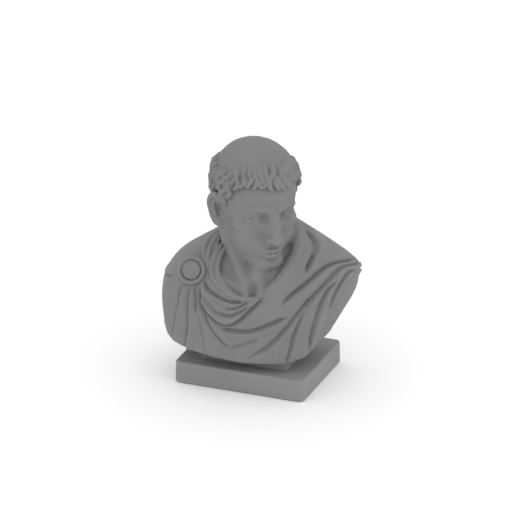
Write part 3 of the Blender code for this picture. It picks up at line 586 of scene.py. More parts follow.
def ring_curl(azimuth, height, size, lift):
    centre = scalp(azimuth, height, lift + 0.6)
    side = scalp(azimuth + 4, height, lift + 0.6) - centre
    side /= np.linalg.norm(side)
    up = scalp(azimuth, height + 4, lift + 0.6) - centre
    up /= np.linalg.norm(up)
    points = []
    for t in np.linspace(0, 1, 11):
        angle = math.radians(100 + 430 * t)
        radius = 4.2 * (1 - 0.68 * t)
        points.append(centre + radius * (math.cos(angle) * side + math.sin(angle) * up))
    return np.array(points), 0.62 * size, 0.25


LOCKS = hair_locks()


def hair(f, h, m):
    h = upright_crown(h)
    cap = ellipsoid(h, CAP_CENTRE, CAP_RADII)
    angle = np.degrees(np.arctan2(m[:, 0], -(h[:, 1] - CAP_CENTRE[1])))
    edge = np.interp(angle, *zip(*HAIRLINE))
    cap = blend_max(cap + 1.2, edge + 1.0 - h[:, 2], 3.0)
    f = blend_min(f, cap, 1.2)
    for path, size, taper in LOCKS:
        idx = close_to(h, path, size + 3)
        if not len(idx):
            continue
        off, share = nearest_on(path, h[idx])[:2]
        thick = size * np.sqrt(np.clip(1 - taper * share, 0.05, 1))
        thick = thick * np.clip(0.62 + 2.2 * share, 0, 1)
        f[idx] = blend_min(f[idx], off - thick, 0.9)
    return f


# Forehead, face, cheek, jaw, chin, cheekbone, lower cheek, muzzle and brow
HEAD_MASSES = (
    (8.0, (0, -8, 4), (34, 32, 26)),
    (9.0, (0, -10.5, -18), (30.5, 30.5, 42)),
    (9.0, (29.5, 2, -6), (26.5, -2, -37), 8.5, 8.2),
    (8.0, (25.5, -4, -39), (8, -36.5, -51.0), 8.2, 8.2),
    (5.0, (0, -37.0, -51), (12.5, 10, 8.8)),
    (7.0, (22.5, -24, -13.5), (10.5, 11.0, 8.5)),
    (8.0, (19.5, -24.5, -29), (11, 10.5, 15)),
    (6.0, (0, -30.5, -34), (18.5, 14.5, 13)),
    (5.0, (4, -39.4, 8.8), (22.5, -33.8, 8.2), 4.4, 3.2),
)


def head(p):
    h = (p - np.array(HEAD_CENTRE)) @ HEAD_TURN
    m = np.column_stack([np.abs(h[:, 0]), h[:, 1], h[:, 2]])
    f = ellipsoid(upright_crown(h), SKULL_CENTRE, SKULL_RADII)
    f = built_up(f, m, HEAD_MASSES)
    face = np.flatnonzero((h[:, 1] < -20) & (f < 14))
    f[face] = nose(mouth(eye(f[face], m[face]), m[face]), m[face])
    by_ear = (np.abs(h[:, 2] + 7) < EAR_ROOM) & (np.abs(h[:, 1] - 4) < EAR_ROOM)
    side = np.flatnonzero((m[:, 0] > 24) & by_ear)
    f[side] = ear(f[side], m[side])
    return hair(f, h, m)


def brooch(p):
    """Thick round brooch with a rolled rim, a groove inside it and a boss
    with short rays, on a mound of gathered cloth."""
    q = p - np.array(BROOCH_CENTRE)
    facing = np.array(BROOCH_FACING)
    facing /= np.linalg.norm(facing)
    depth = q @ facing
    across = np.sqrt(np.maximum((q * q).sum(1) - depth**2, 0))
    half = BROOCH_THICKNESS / 2
    disc = blend_max(across - BROOCH_RADIUS + 1.0, np.abs(depth + half) - half, 1.6)
    rim = np.hypot(across - (BROOCH_RADIUS - 2.2), depth) - 2.2
    disc = blend_min(disc, rim, 0.8)
    inner = blend_max(across - BROOCH_GROOVE + 0.4, np.abs(depth) - 1.1, 1.0)
    disc = blend_min(disc, inner, 0.5)
    disc += 2.2 * np.exp(-(((across - BROOCH_GROOVE) / 0.75) ** 2))
    boss = np.hypot(across, depth + 0.4) - 2.2
    disc = blend_min(disc, boss, 0.8)
    level = np.cross(facing, (0, 0, 1))
    angle = np.arctan2(q @ np.cross(level, facing), q @ level)
    ray = np.cos(BROOCH_RAYS / 2 * angle) ** 6
    disc += 0.6 * ray * np.exp(-(((across - 5.2) / 2.0) ** 2))
    mound = ellipsoid(p, np.array(BROOCH_CENTRE) - 9 * facing, (15.5, 10, 13.5))
    return disc, mound


def foot(p):
    middle = np.array((FOOT_LEFT + FOOT_RIGHT, FOOT_FRONT + FOOT_BACK)) / 2
    half = np.array((FOOT_RIGHT - FOOT_LEFT, FOOT_BACK - FOOT_FRONT)) / 2 - FOOT_CORNER
    q = np.abs(p[:, :2] - middle) - half
    wall = np.linalg.norm(np.maximum(q, 0), axis=1) + np.minimum(q.max(1), 0) - FOOT_CORNER
    return np.maximum(wall, np.maximum(p[:, 2] - FOOT_TOP, STAND_LEVEL - FOOT_SPARE - p[:, 2]))


def bust_field(p):
    """Below zero inside the carved bust. Points are in parts."""
    q = p @ CHEST_TURN
    f = cloak(q)
    disc, mound = brooch(q)
    f = blend_min(f, mound, 4.0)
    f = blend_min(f, disc, 0.8)
    f = blend_min(f, neck(p), 1.2)
    f = blend_min(f, foot(p), 3.0)
    f = blend_min(f, head(p), 3.0)
    return f


def scatter(column, row, seed):
    """Repeatable scatter between nought and one for a grid cell."""
    value = np.sin(column * 127.1 + row * 311.7 + seed * 74.7) * 43758.5453
    return value - np.floor(value)


def tufts(across, along, wide, long, lean, seed):
    """Height of short raised commas set out in staggered rows."""
    row = np.floor(along / long)
    best = np.zeros(len(across))
    for down in (-1, 0, 1):
        r = row + down
        shifted = across / wide + 0.5 * np.mod(r, 2)
        for sideways in (-1, 0, 1):
            c = np.floor(shifted) + sideways
            u = (shifted - c - 0.5 - 0.5 * (scatter(c, r, seed) - 0.5)) * wide
            v = along - (r + 0.5 + 0.4 * (scatter(c, r, seed + 1) - 0.5)) * long
            tilt = lean + 0.5 * (scatter(c, r, seed + 2) - 0.5)
            u = u + tilt * v + 0.12 * v * v / long
            bump = np.exp(-((u / (0.34 * wide)) ** 2) - (v / (0.52 * long)) ** 2)
            best = np.maximum(best, bump)
    return best


# Lower edge of the bare cheek above the beard: angle from the face, height
BEARD_LINE = (
    (0, -29), (14, -29.5), (20, -33), (34, -30), (52, -22),
    (68, -6), (80, 6), (92, -10), (180, -60),
)
# The beard stays this near to the head's upright axis, clear of the cloak
BEARD_REACH = 44.0
BEARD_HEIGHT = 0.85
BROW_HEIGHT = 0.75
STRAND_HEIGHT = 0.42
# Middle of the iris from the head's middle, and the radius of its ring
IRIS_MIDDLE = (15.8, -0.6)
IRIS_RING = 3.1
HEAD_ROOM = 66.0


def fine_relief(p):
    """Shallow carving on the head: cropped beard, brows, strands and irises."""
    rise = np.zeros(len(p))
    h = (p - np.array(HEAD_CENTRE)) @ HEAD_TURN
    on_head = np.flatnonzero((np.abs(h) < HEAD_ROOM).all(1))
    if not len(on_head):
        return rise
    h = h[on_head]
    m = np.column_stack([np.abs(h[:, 0]), h[:, 1], h[:, 2]])
    angle = np.degrees(np.arctan2(m[:, 0], -(h[:, 1] - 2)))
    around = angle * 0.62
    out = np.zeros(len(h))

    bearded = np.interp(angle, *zip(*BEARD_LINE))
    cover = np.clip((bearded - h[:, 2]) / 4.0, 0, 1) * np.clip((h[:, 2] + 66) / 5.0, 0, 1)
    cover *= np.clip((88 - angle) / 10, 0, 1) * np.clip((-h[:, 1] + 10) / 8, 0, 1)
    lips = np.hypot(m[:, 0] / 13.5, (h[:, 2] + 38.0) / 5.6)
    cover *= np.clip((lips - 0.95) / 0.3, 0, 1)
    under = np.clip((-h[:, 1] - 8 + 0.55 * (h[:, 2] + 60)) / 6, 0, 1)
    cover *= np.where(h[:, 2] < -52, under, 1.0)
    cover *= np.clip((BEARD_REACH - np.hypot(h[:, 0], h[:, 1] + 8)) / 3, 0, 1)
    flow = np.where(angle < 30, 0.1, 0.45)
    beard = tufts(around, h[:, 2] + 0.3 * around, 2.5, 4.4, flow, 3.0)
    out += BEARD_HEIGHT * cover * (beard - 0.25)

    brow = rod(m, (5.5, -44, 10.2), (23, -36, 10.0), 2.4, 1.6)
    brows = np.clip(1 - brow / 1.6, 0, 1)
    hairs = tufts(h[:, 2] - 0.25 * m[:, 0], m[:, 0], 1.7, 3.4, 0.35, 9.0)
    out += BROW_HEIGHT * brows * (0.5 + hairs)

    h = upright_crown(h)
    cap = ellipsoid(h, CAP_CENTRE, CAP_RADII)
    edge = np.interp(np.degrees(np.arctan2(m[:, 0], -(h[:, 1] - CAP_CENTRE[1]))), *zip(*HAIRLINE))
    hairy = np.clip((h[:, 2] - edge) / 4, 0, 1) * np.clip((cap + 5) / 3, 0, 1)
    turn_round = np.degrees(np.arctan2(h[:, 0], -(h[:, 1] - 14)))
    spread = np.hypot(h[:, 0], h[:, 1] - 14)
    crown = np.clip((h[:, 2] - 30) / 10, 0, 1)
    strands = tufts(turn_round * 0.6, spread * 1.1 + 3 * crown, 3.0, 8.0, 0.2, 21.0)
    out += STRAND_HEIGHT * hairy * (strands - 0.4)
    out += 0.16 * hairy * np.sin(turn_round * 2.4 + 0.5 * spread)

    gaze = np.hypot(m[:, 0] - IRIS_MIDDLE[0], h[:, 2] - IRIS_MIDDLE[1])
    facing = np.clip((-h[:, 1] - 34) / 2, 0, 1) * np.clip(6.5 - gaze, 0, 1)
    out -= 0.30 * facing * np.exp(-(((gaze - IRIS_RING) / 0.42) ** 2))
    out -= 0.55 * facing * np.exp(-((gaze / 1.15) ** 2))
    rise[on_head] = out
    return rise


def to_world(p):
    return (p - np.array((0, 0, STAND_LEVEL))) * part_size() + np.array((0, 0, FOOT_LEVEL))


def to_parts(p):
    return (p - np.array((0, 0, FOOT_LEVEL))) / part_size() + np.array((0, 0, STAND_LEVEL))


def part_size():
    return bpy.context.scene.bust_sizes.height / PARTS_TALL


def read_vectors(mesh, name):
    flat = np.empty(len(mesh.vertices) * 3)
    mesh.vertices.foreach_get(name, flat)
    return flat.reshape(-1, 3)


def write_points(mesh, points):
    mesh.vertices.foreach_set("co", to_world(points).ravel())
    mesh.update()


def read_edges(mesh):
    edges = np.empty(2 * len(mesh.edges), dtype=np.int32)
    mesh.edges.foreach_get("vertices", edges)
    return edges.reshape(-1, 2)


def neighbour_middle(points, edges):
    count = np.bincount(edges.ravel(), minlength=len(points))[:, None]
    total = np.zeros_like(points)
    for k in range(3):
        total[:, k] = np.bincount(edges[:, 0], points[edges[:, 1], k], len(points))
        total[:, k] += np.bincount(edges[:, 1], points[edges[:, 0], k], len(points))
    return total / np.maximum(count, 1)


# Carving steps: the nudge that a slope is felt with, in parts, the least
# slope trusted, and the share taken of each move and of each slide
NUDGE = 0.05
LEAST_SLOPE = 0.05
STEP_SHARE = 0.85
SLIDE_SHARE = 0.5


def carve(item, steps, reach, field):
    """Bring every point of the mesh onto the carved surface, sliding it
    along the surface towards its neighbours as it goes."""
    points = to_parts(read_vectors(item.data, "co"))
    edges = read_edges(item.data)
    for _ in range(steps):
        inside = field(points)
        slope = np.zeros_like(points)
        for k in range(3):
            nudge = np.zeros(3)
            nudge[k] = NUDGE
            slope[:, k] = (field(points + nudge) - inside) / NUDGE
        size = np.maximum((slope**2).sum(1), LEAST_SLOPE)
        move = -(inside / size)[:, None] * slope
        length = np.linalg.norm(move, axis=1)
        points += move * (reach / np.maximum(length, reach))[:, None] * STEP_SHARE
        normals = slope / np.sqrt(size)[:, None]
        slide = neighbour_middle(points, edges) - points
        slide -= (slide * normals).sum(1)[:, None] * normals
        points += SLIDE_SHARE * slide
    write_points(item.data, points)


def finished_field(p):
    return bust_field(p) - fine_relief(p)


def apply_all(item):
    bpy.context.view_layer.objects.active = item
    for modifier in list(item.modifiers):
        bpy.ops.object.modifier_apply(modifier=modifier.name)


def remesh(item, voxel):
    skin = item.modifiers.new("Even skin", "REMESH")
    skin.mode = "VOXEL"
    skin.voxel_size = voxel * part_size()
    skin.adaptivity = 0.0
    apply_all(item)


def deselect_all():
    for item in list(bpy.context.selected_objects):
        item.select_set(False)


# The carved surface is none that a primitive or a modifier gives, so an
# even grid is laid through the stone and a skin drawn where it ends
CORNERS = [np.array((x, y, z)) for x in (0, 1) for y in (0, 1) for z in (0, 1)]


def refined(values):
    """Grid of half the spacing, filled in between the given values."""
    for axis in range(3):
        values = np.moveaxis(values, axis, 0)
        finer = np.empty((2 * len(values) - 1, *values.shape[1:]))
        finer[::2] = values
        finer[1::2] = 0.5 * (values[:-1] + values[1:])
        values = np.moveaxis(finer, 0, axis)
    return np.ascontiguousarray(values)


def field_grid(field, spacing):
    """Field on an even grid, worked out afresh only near its surface."""
    low = np.array(ROOM_LOW)
    step = 4.0 * spacing
    counts = np.ceil((np.array(ROOM_HIGH) - low) / step).astype(int) + 1
    values = np.zeros(counts)
    for level in range(3):
        near = np.argwhere(np.abs(values) < (GRID_BAND * step if level else np.inf))
        for first in range(0, len(near), GRID_CHUNK):
            some = near[first:first + GRID_CHUNK]
            values[tuple(some.T)] = field(low + step * some)
        if level < 2:
            values = refined(values)
            step /= 2
    return low, values


def skin_points(low, spacing, values, cells):
    """One point in each cell, amid the places where its edges are crossed."""
    total = np.zeros((len(cells), 3))
    count = np.zeros(len(cells))
    for start in CORNERS:
        for axis in range(3):
            if start[axis]:
                continue
            end = start.copy()
            end[axis] = 1
            a = values[tuple((cells + start).T)]
            b = values[tuple((cells + end).T)]
            crossed = (a < 0) != (b < 0)
            share = a / np.where(crossed, a - b, 1)
            total += np.where(crossed[:, None], start + share[:, None] * (end - start), 0)
            count += crossed
    return low + spacing * (cells + total / count[:, None])


def skin_faces(inside, cell_number):
    """A four-sided face round every grid edge that passes the surface."""
    faces = []
    for axis in range(3):
        along = np.eye(3, dtype=int)[axis]
        a = np.eye(3, dtype=int)[(axis + 1) % 3]
        b = np.eye(3, dtype=int)[(axis + 2) % 3]
        before = inside[tuple(slice(0, n - k) for n, k in zip(inside.shape, along))]
        after = inside[tuple(slice(k, n) for n, k in zip(inside.shape, along))]
        spots = np.argwhere(before != after)
        ring = [cell_number[tuple((spots - way).T)] for way in (a + b, b, 0 * a, a)]
        face = np.column_stack(ring)
        turned = ~inside[tuple(spots.T)]
        face[turned] = face[turned][:, ::-1]
        faces.append(face)
    return np.concatenate(faces)


def skin_over(name, field, spacing):
    """Closed mesh drawn over the surface of a field."""
    low, values = field_grid(field, spacing)
    inside = values < 0
    mixed = np.zeros(np.array(inside.shape) - 1, int)
    for corner in CORNERS:
        mixed += inside[tuple(slice(k, n - 1 + k) for n, k in zip(inside.shape, corner))]
    cells = np.argwhere((mixed > 0) & (mixed < 8))
    cell_number = np.full(mixed.shape, -1)
    cell_number[tuple(cells.T)] = np.arange(len(cells))
    points = to_world(skin_points(low, spacing, values, cells))
    faces = skin_faces(inside, cell_number)
    mesh = bpy.data.meshes.new(name)
    mesh.from_pydata(points.tolist(), [], faces.tolist())
    item = bpy.data.objects.new(name, mesh)
    bpy.context.scene.collection.objects.link(item)
    return item


def keep_main_body(item):
    """Drop any crumbs left loose from the main body."""
    edges = read_edges(item.data)
    label = np.arange(len(item.data.vertices))
    while True:
        low = np.minimum(label[edges[:, 0]], label[edges[:, 1]])
        fresh = label.copy()
        np.minimum.at(fresh, edges[:, 0], low)
        np.minimum.at(fresh, edges[:, 1], low)
        fresh = fresh[fresh]
        if (fresh == label).all():
            break
        label = fresh
    names, counts = np.unique(label, return_counts=True)
    if len(names) == 1:
        return
    main_name = names[counts.argmax()]
    shape = bmesh.new()
    shape.from_mesh(item.data)
    shape.verts.ensure_lookup_table()
    crumbs = [shape.verts[int(i)] for i in np.flatnonzero(label != main_name)]
    bmesh.ops.delete(shape, geom=crumbs, context="VERTS")
    shape.to_mesh(item.data)
    shape.free()


def cut_foot(item):
    """Saw the block's foot level, just clear of the plinth's top."""
    deselect_all()
    item.select_set(True)
    bpy.context.view_layer.objects.active = item
    bpy.ops.object.mode_set(mode="EDIT")
    bpy.ops.mesh.select_all(action="SELECT")
    bpy.ops.mesh.bisect(
        plane_co=(0, 0, FOOT_LEVEL), plane_no=(0, 0, 1), use_fill=True, clear_inner=True
    )
    bpy.ops.object.mode_set(mode="OBJECT")


def thin_out(item, limit):
    item.data.calc_loop_triangles()
    count = len(item.data.loop_triangles)
    if count > limit:
        thin = item.modifiers.new("Fewer triangles", "DECIMATE")
        thin.ratio = limit / count
        thin.use_collapse_triangulate = True
        apply_all(item)


# Passes that smooth the surface its hollows are told from, and the depth,
# in metres, of one that counts as full
HOLLOW_PASSES = 24
HOLLOW_REACH = 0.002


def note_hollows(item, reach):
    """Store how far each point lies below (or, if negative, above) the
    surface smoothed over its surroundings, for painted shade in the hollows
    and for wear on the ridges."""
    points = read_vectors(item.data, "co")
    normals = read_vectors(item.data, "normal")
    edges = read_edges(item.data)
    smooth = points.copy()
    for _ in range(HOLLOW_PASSES):
        smooth += 0.6 * (neighbour_middle(smooth, edges) - smooth)
    depth = ((smooth - points) * normals).sum(1) / reach
    for _ in range(2):
        column = np.column_stack([depth, depth, depth])
        depth += 0.5 * (neighbour_middle(column, edges)[:, 0] - depth)
    layer = item.data.attributes.new("hollow", "FLOAT", "POINT")
    layer.data.foreach_set("value", np.clip(depth, -1, 1).astype(np.float32))


def size_setting(name, description, metres):
    return bpy.props.FloatProperty(
        name=name, description=description, default=metres, unit="LENGTH"
    )


def grey_setting(name, description, level):
    return bpy.props.FloatVectorProperty(
        name=name, description=description, subtype="COLOR",
        default=(level, level, level), min=0.0, max=1.0,
    )


class BustSizes(bpy.types.PropertyGroup):
    height: size_setting(
        "Bust height", "From the plinth's top to the crown", float(BUST_BOX[1][2] - BUST_BOX[0][2])
    )
    rough: bpy.props.FloatProperty(
        name="Roughing grid",
        description="Spacing of the grid that the carving is first drawn on, in parts of the bust",
        default=1.15,
        min=0.6,
    )
    finest: bpy.props.FloatProperty(
        name="Finest cut",
        description="Finest skin laid over the carving, in parts of the bust",
        default=0.84,
        min=0.5,
    )
    triangles: bpy.props.IntProperty(
        name="Triangles",
        description="Most triangles the finished bust may hold",
        default=196000,
    )
    plinth_taper: size_setting(
        "Plinth taper", "How far each side of the plinth draws in towards its top", 0.0008
    )
    plinth_corner: size_setting("Plinth corner", "Radius of the plinth's upright corners", 0.011)
    plinth_edge: size_setting(
        "Plinth edge", "Radius rubbed on the plinth's level edges", 0.0035
    )


class StoneLook(bpy.types.PropertyGroup):
    colour: grey_setting("Stone colour", "Clean surface of the grey stone", 0.209)
    # Hollow colour is painted shade: darker stone laid in the carving's hollows where shade falls
    hollow_shade_colour: grey_setting(
        "Hollow colour", "Stone where dust and shade settle in the carving", 0.186
    )
    # Plinth colour is painted light: the same grey stone made paler to stand in for brighter light
    # on the plinth's faces
    plinth_painted_light_colour: grey_setting(
        "Plinth colour", "Clean surface of the plinth's slightly paler stone", 0.246
    )
    worn_colour: grey_setting("Worn colour", "Stone rubbed pale on its ridges", 0.217)
    grain: size_setting("Grain size", "Width of the stone's grains", 0.0011)
    bump: size_setting("Grain height", "Height of the stone's sandy surface", 0.00022)


class StageLook(bpy.types.PropertyGroup):
    azimuth: bpy.props.FloatProperty(
        name="Camera azimuth",
        description="Camera's turn towards the figure's left, in degrees",
        default=21.3,
    )
    elevation: bpy.props.FloatProperty(
        name="Camera elevation",
        description="Camera's height above level, in degrees",
        default=23.9,
    )
    view_width: size_setting("View width", "Width that the picture covers at the bust", 1.024)
    lens: bpy.props.FloatProperty(
        name="Lens",
        description="Focal length of the camera in millimetres",
        default=500.0,
    )
    floor_colour: grey_setting("Floor colour", "Pale studio floor", 0.985)
    dome_strength: bpy.props.FloatProperty(
        name="Dome strength",
        description="Strength of the white light from all round",
        default=1.06,
    )
    sun_strength: bpy.props.FloatProperty(
        name="Soft key strength",
        description="Strength of the broad light from the figure's left",
        default=0.2,
    )


def add_node(tree, kind, place, **settings):
    node = tree.nodes.new(kind)
    node.location = place
    for name, value in settings.items():
        setattr(node, name, value)
    return node


def set_inputs(node, **values):
    for name, value in values.items():
        node.inputs[name].default_value = value


def mix_colour(tree, place, blend, factor, first, second):
    node = add_node(tree, "ShaderNodeMix", place, data_type="RGBA", blend_type=blend)
    sockets = (node.inputs[0], node.inputs[6], node.inputs[7])
    for socket, value in zip(sockets, (factor, first, second)):
        if isinstance(value, bpy.types.NodeSocket):
            tree.links.new(value, socket)
        else:
            socket.default_value = value
    return node.outputs[2]


def ramp(tree, place, source, low, high):
    node = add_node(tree, "ShaderNodeMapRange", place, clamp=True)
    tree.links.new(source, node.inputs["Value"])
    node.inputs["From Min"].default_value = low
    node.inputs["From Max"].default_value = high
    return node.outputs["Result"]


SURFACE_SOCKETS = (
    ("Vector", "INPUT", "NodeSocketVector"),
    ("Clean", "INPUT", "NodeSocketColor"),
    # Hollow takes the colour of the painted shade laid in the carving's hollows
    ("Hollow", "INPUT", "NodeSocketColor"),
    ("Worn", "INPUT", "NodeSocketColor"),
    ("Depth", "INPUT", "NodeSocketFloat"),
    ("Grain scale", "INPUT", "NodeSocketFloat"),
    ("Colour", "OUTPUT", "NodeSocketColor"),
    ("Roughness", "OUTPUT", "NodeSocketFloat"),
    ("Height", "OUTPUT", "NodeSocketFloat"),
)


def tone(value):
    return (value, value, value, 1.0)


def stone_group():
    """Clouding, sandy grain, pits, painted shade in hollows and wear on ridges."""
    group = bpy.data.node_groups.new("Carved stone surface", "ShaderNodeTree")
    for name, way, kind in SURFACE_SOCKETS:
        group.interface.new_socket(name=name, in_out=way, socket_type=kind)
    enter = add_node(group, "NodeGroupInput", (-1200, 0))
    leave = add_node(group, "NodeGroupOutput", (900, 0))

    clouds = add_node(group, "ShaderNodeTexNoise", (-900, 300))
    set_inputs(clouds, Scale=11.0, Detail=5.0, Roughness=0.6)
    grain = add_node(group, "ShaderNodeTexNoise", (-900, 0))
    set_inputs(grain, Detail=3.0, Roughness=0.7)
    pits = add_node(group, "ShaderNodeTexVoronoi", (-900, -300))
    set_inputs(pits, Scale=170.0, Randomness=1.0)
    for node in (clouds, grain, pits):
        group.links.new(enter.outputs["Vector"], node.inputs["Vector"])
    group.links.new(enter.outputs["Grain scale"], grain.inputs["Scale"])

    # Mask of the painted shade: full where the surface lies well below its smoothed surroundings
    hollow = ramp(group, (-600, -600), enter.outputs["Depth"], 0.05, 0.75)
    ridge = add_node(group, "ShaderNodeMath", (-800, -800), operation="MULTIPLY")
    ridge.inputs[1].default_value = -1.0
    group.links.new(enter.outputs["Depth"], ridge.inputs[0])
    worn = ramp(group, (-600, -800), ridge.outputs[0], 0.10, 0.9)

    # Painted shade: the hollow colour is mixed in over the clean stone where the mask is full
    clean, hollow_shade = enter.outputs["Clean"], enter.outputs["Hollow"]
    colour = mix_colour(group, (-300, 300), "MIX", hollow, clean, hollow_shade)
    colour = mix_colour(group, (-100, 300), "MIX", worn, colour, enter.outputs["Worn"])
    cloud_value = ramp(group, (-600, 300), clouds.outputs["Fac"], 0.3, 0.7)
    shade = mix_colour(group, (-300, 0), "MIX", cloud_value, tone(0.93), tone(1.05))
    colour = mix_colour(group, (100, 300), "MULTIPLY", 1.0, colour, shade)
    grain_value = ramp(group, (-600, 0), grain.outputs["Fac"], 0.3, 0.7)
    speck = mix_colour(group, (-100, 0), "MIX", grain_value, tone(0.90), tone(1.07))
    colour = mix_colour(group, (300, 300), "MULTIPLY", 1.0, colour, speck)
    pit_value = ramp(group, (-600, -300), pits.outputs["Distance"], 0.05, 0.22)
    pitted = mix_colour(group, (300, 0), "MIX", pit_value, tone(0.86), tone(1.0))
    colour = mix_colour(group, (500, 300), "MULTIPLY", 1.0, colour, pitted)
    group.links.new(colour, leave.inputs["Colour"])

    rough = add_node(group, "ShaderNodeMapRange", (500, 0), clamp=True)
    group.links.new(grain_value, rough.inputs["Value"])
    rough.inputs["To Min"].default_value = 0.74
    rough.inputs["To Max"].default_value = 0.90
    group.links.new(rough.outputs["Result"], leave.inputs["Roughness"])

    height = add_node(group, "ShaderNodeMath", (500, -300), operation="MULTIPLY_ADD")
    group.links.new(grain_value, height.inputs[0])
    height.inputs[1].default_value = 0.6
    lowered = add_node(group, "ShaderNodeMath", (300, -400), operation="MULTIPLY")
    group.links.new(pit_value, lowered.inputs[0])
    lowered.inputs[1].default_value = 0.9
    group.links.new(lowered.outputs[0], height.inputs[2])
    group.links.new(height.outputs[0], leave.inputs["Height"])
    return group


def stone_material(name, look, clean, grain_share, bump_share):
    material = bpy.data.materials.new(name)
    material.use_nodes = True
    tree = material.node_tree
    tree.nodes.clear()
    output = add_node(tree, "ShaderNodeOutputMaterial", (700, 0))
    shader = add_node(tree, "ShaderNodeBsdfPrincipled", (400, 0))
    tree.links.new(shader.outputs["BSDF"], output.inputs["Surface"])
    shader.inputs["Metallic"].default_value = 0.0
    shader.inputs["Specular IOR Level"].default_value = 0.30
    place = add_node(tree, "ShaderNodeTexCoord", (-500, 0))
    depth = add_node(tree, "ShaderNodeAttribute", (-500, -300), attribute_name="hollow")
    surface = add_node(tree, "ShaderNodeGroup", (-100, 0))
    surface.node_tree = surface_group()
    tree.links.new(place.outputs["Object"], surface.inputs["Vector"])
    tree.links.new(depth.outputs["Fac"], surface.inputs["Depth"])
    # The hollow colour goes in as painted shade for the carving's hollows
    hollow_shade, worn = (*look.hollow_shade_colour, 1.0), (*look.worn_colour, 1.0)
    set_inputs(surface, Clean=(*clean, 1.0), Hollow=hollow_shade, Worn=worn)
    surface.inputs["Grain scale"].default_value = 1.0 / (look.grain * grain_share)
    tree.links.new(surface.outputs["Colour"], shader.inputs["Base Color"])
    tree.links.new(surface.outputs["Roughness"], shader.inputs["Roughness"])
    bump = add_node(tree, "ShaderNodeBump", (150, -300))
    set_inputs(bump, Strength=1.0, Distance=look.bump * bump_share)
    tree.links.new(surface.outputs["Height"], bump.inputs["Height"])
    tree.links.new(bump.outputs["Normal"], shader.inputs["Normal"])
    return material


def surface_group():
    return bpy.data.node_groups.get("Carved stone surface") or stone_group()


# Angles in degrees: what stays a crease on the bust and on the plinth, and
# what the plinth's edges are rubbed from. An edge that rises more than
# the last, in metres, is upright.
CARVED_CREASE = 60.0
PLINTH_CREASE = 50.0
PLINTH_EDGE_FROM = 40.0
UPRIGHT_RISE = 0.01


class BUST_OT_carve_bust(bpy.types.Operator):
    """Carve the head, cloak, brooch and foot block from one rough block"""

    bl_idname = "bust.carve_bust"
    bl_label = "Carve Bust"

    def execute(self, context):
        sizes = context.scene.bust_sizes
        rough, fine, steps = sizes.rough, sizes.finest, 2
        item = skin_over("carved_bust", bust_field, rough)
        remesh(item, fine)
        carve(item, steps, 0.5 * fine, finished_field)
        keep_main_body(item)
        thin_out(item, sizes.triangles)
        cut_foot(item)
        bpy.ops.object.shade_smooth_by_angle(angle=math.radians(CARVED_CREASE))
        note_hollows(item, HOLLOW_REACH)
        item.name = "carved_bust"
        item.data.name = "carved_bust"
        item.data.materials.clear()
        look = context.scene.bust_stone
        stone = stone_material("Carved grey stone", look, look.colour, 1.0, 1.0)
        item.data.materials.append(stone)
        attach(item, "root")
        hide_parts("bust")
        return {"FINISHED"}


def draw_in_top(item, size, centre, taper):
    """Draw the top face of a block in by the same taper on each side."""
    for part in (*item.data.vertices, *item.data.edges):
        part.select = False
    for face in item.data.polygons:
        face.select = face.normal.z > 0.5
    bpy.ops.object.mode_set(mode="EDIT")
    bpy.ops.mesh.select_mode(type="FACE")
    share = (1 - 2 * taper / size[0], 1 - 2 * taper / size[1], 1)
    bpy.ops.transform.resize(value=share, center_override=centre)
    bpy.ops.object.mode_set(mode="OBJECT")


class BUST_OT_cut_plinth(bpy.types.Operator):
    """Cut the rectangular plinth with rounded corners and rubbed edges"""

    bl_idname = "bust.cut_plinth"
    bl_label = "Cut Plinth"

    def execute(self, context):
        sizes = context.scene.bust_sizes
        low, high = (np.array(corner, float) for corner in PLINTH_BOX)
        middle = (low + high) / 2
        size = high - low
        deselect_all()
        bpy.ops.mesh.primitive_cube_add(size=1.0, location=tuple(middle), scale=tuple(size))
        item = bpy.context.object
        bpy.ops.object.transform_apply(location=True, rotation=True, scale=True)
        draw_in_top(item, size, (middle[0], middle[1], high[2]), sizes.plinth_taper)
        upright = item.data.attributes.new("bevel_weight_edge", "FLOAT", "EDGE")
        for edge in item.data.edges:
            bottom, top = (item.data.vertices[i].co.z for i in edge.vertices)
            upright.data[edge.index].value = 1.0 if abs(top - bottom) > UPRIGHT_RISE else 0.0
        corners = item.modifiers.new("Corners", "BEVEL")
        corners.limit_method = "WEIGHT"
        corners.width = sizes.plinth_corner
        corners.segments = 16
        edges = item.modifiers.new("Edges", "BEVEL")
        edges.limit_method = "ANGLE"
        edges.angle_limit = math.radians(PLINTH_EDGE_FROM)
        edges.width = sizes.plinth_edge
        edges.segments = 8
        apply_all(item)
        bpy.ops.object.shade_smooth_by_angle(angle=math.radians(PLINTH_CREASE))
        item.name = "cut_plinth"
        item.data.name = "cut_plinth"
        look = context.scene.bust_stone
        # The plinth's stone is painted paler: painted light for the brighter light on its faces
        stone = stone_material("Rubbed grey stone", look, look.plinth_painted_light_colour, 1.1, 0.8)
        item.data.materials.append(stone)
        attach(item, "root")
        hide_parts("plinth")
        return {"FINISHED"}


def picture_axes(azimuth, elevation):
    a, e = math.radians(azimuth), math.radians(elevation)
    right = np.array((math.cos(a), math.sin(a), 0.0))
    up = np.array((-math.sin(a) * math.sin(e), math.cos(a) * math.sin(e), math.cos(e)))
    back = np.array((math.sin(a) * math.cos(e), -math.cos(a) * math.cos(e), math.sin(e)))
    return right, up, back


# Middle of the picture, right and up of the plinth's underside, in metres
PICTURE_MIDDLE = (-0.0042, 0.230)
# Floor and the hair's breadth it lies below the plinth, in metres
FLOOR_WIDTH, FLOOR_DROP = 80.0, 0.0005
# Breadth of the key light and its turn from overhead, in degrees
KEY_BREADTH, KEY_TURN = 50.0, 62.0
SENSOR_WIDTH = 36.0


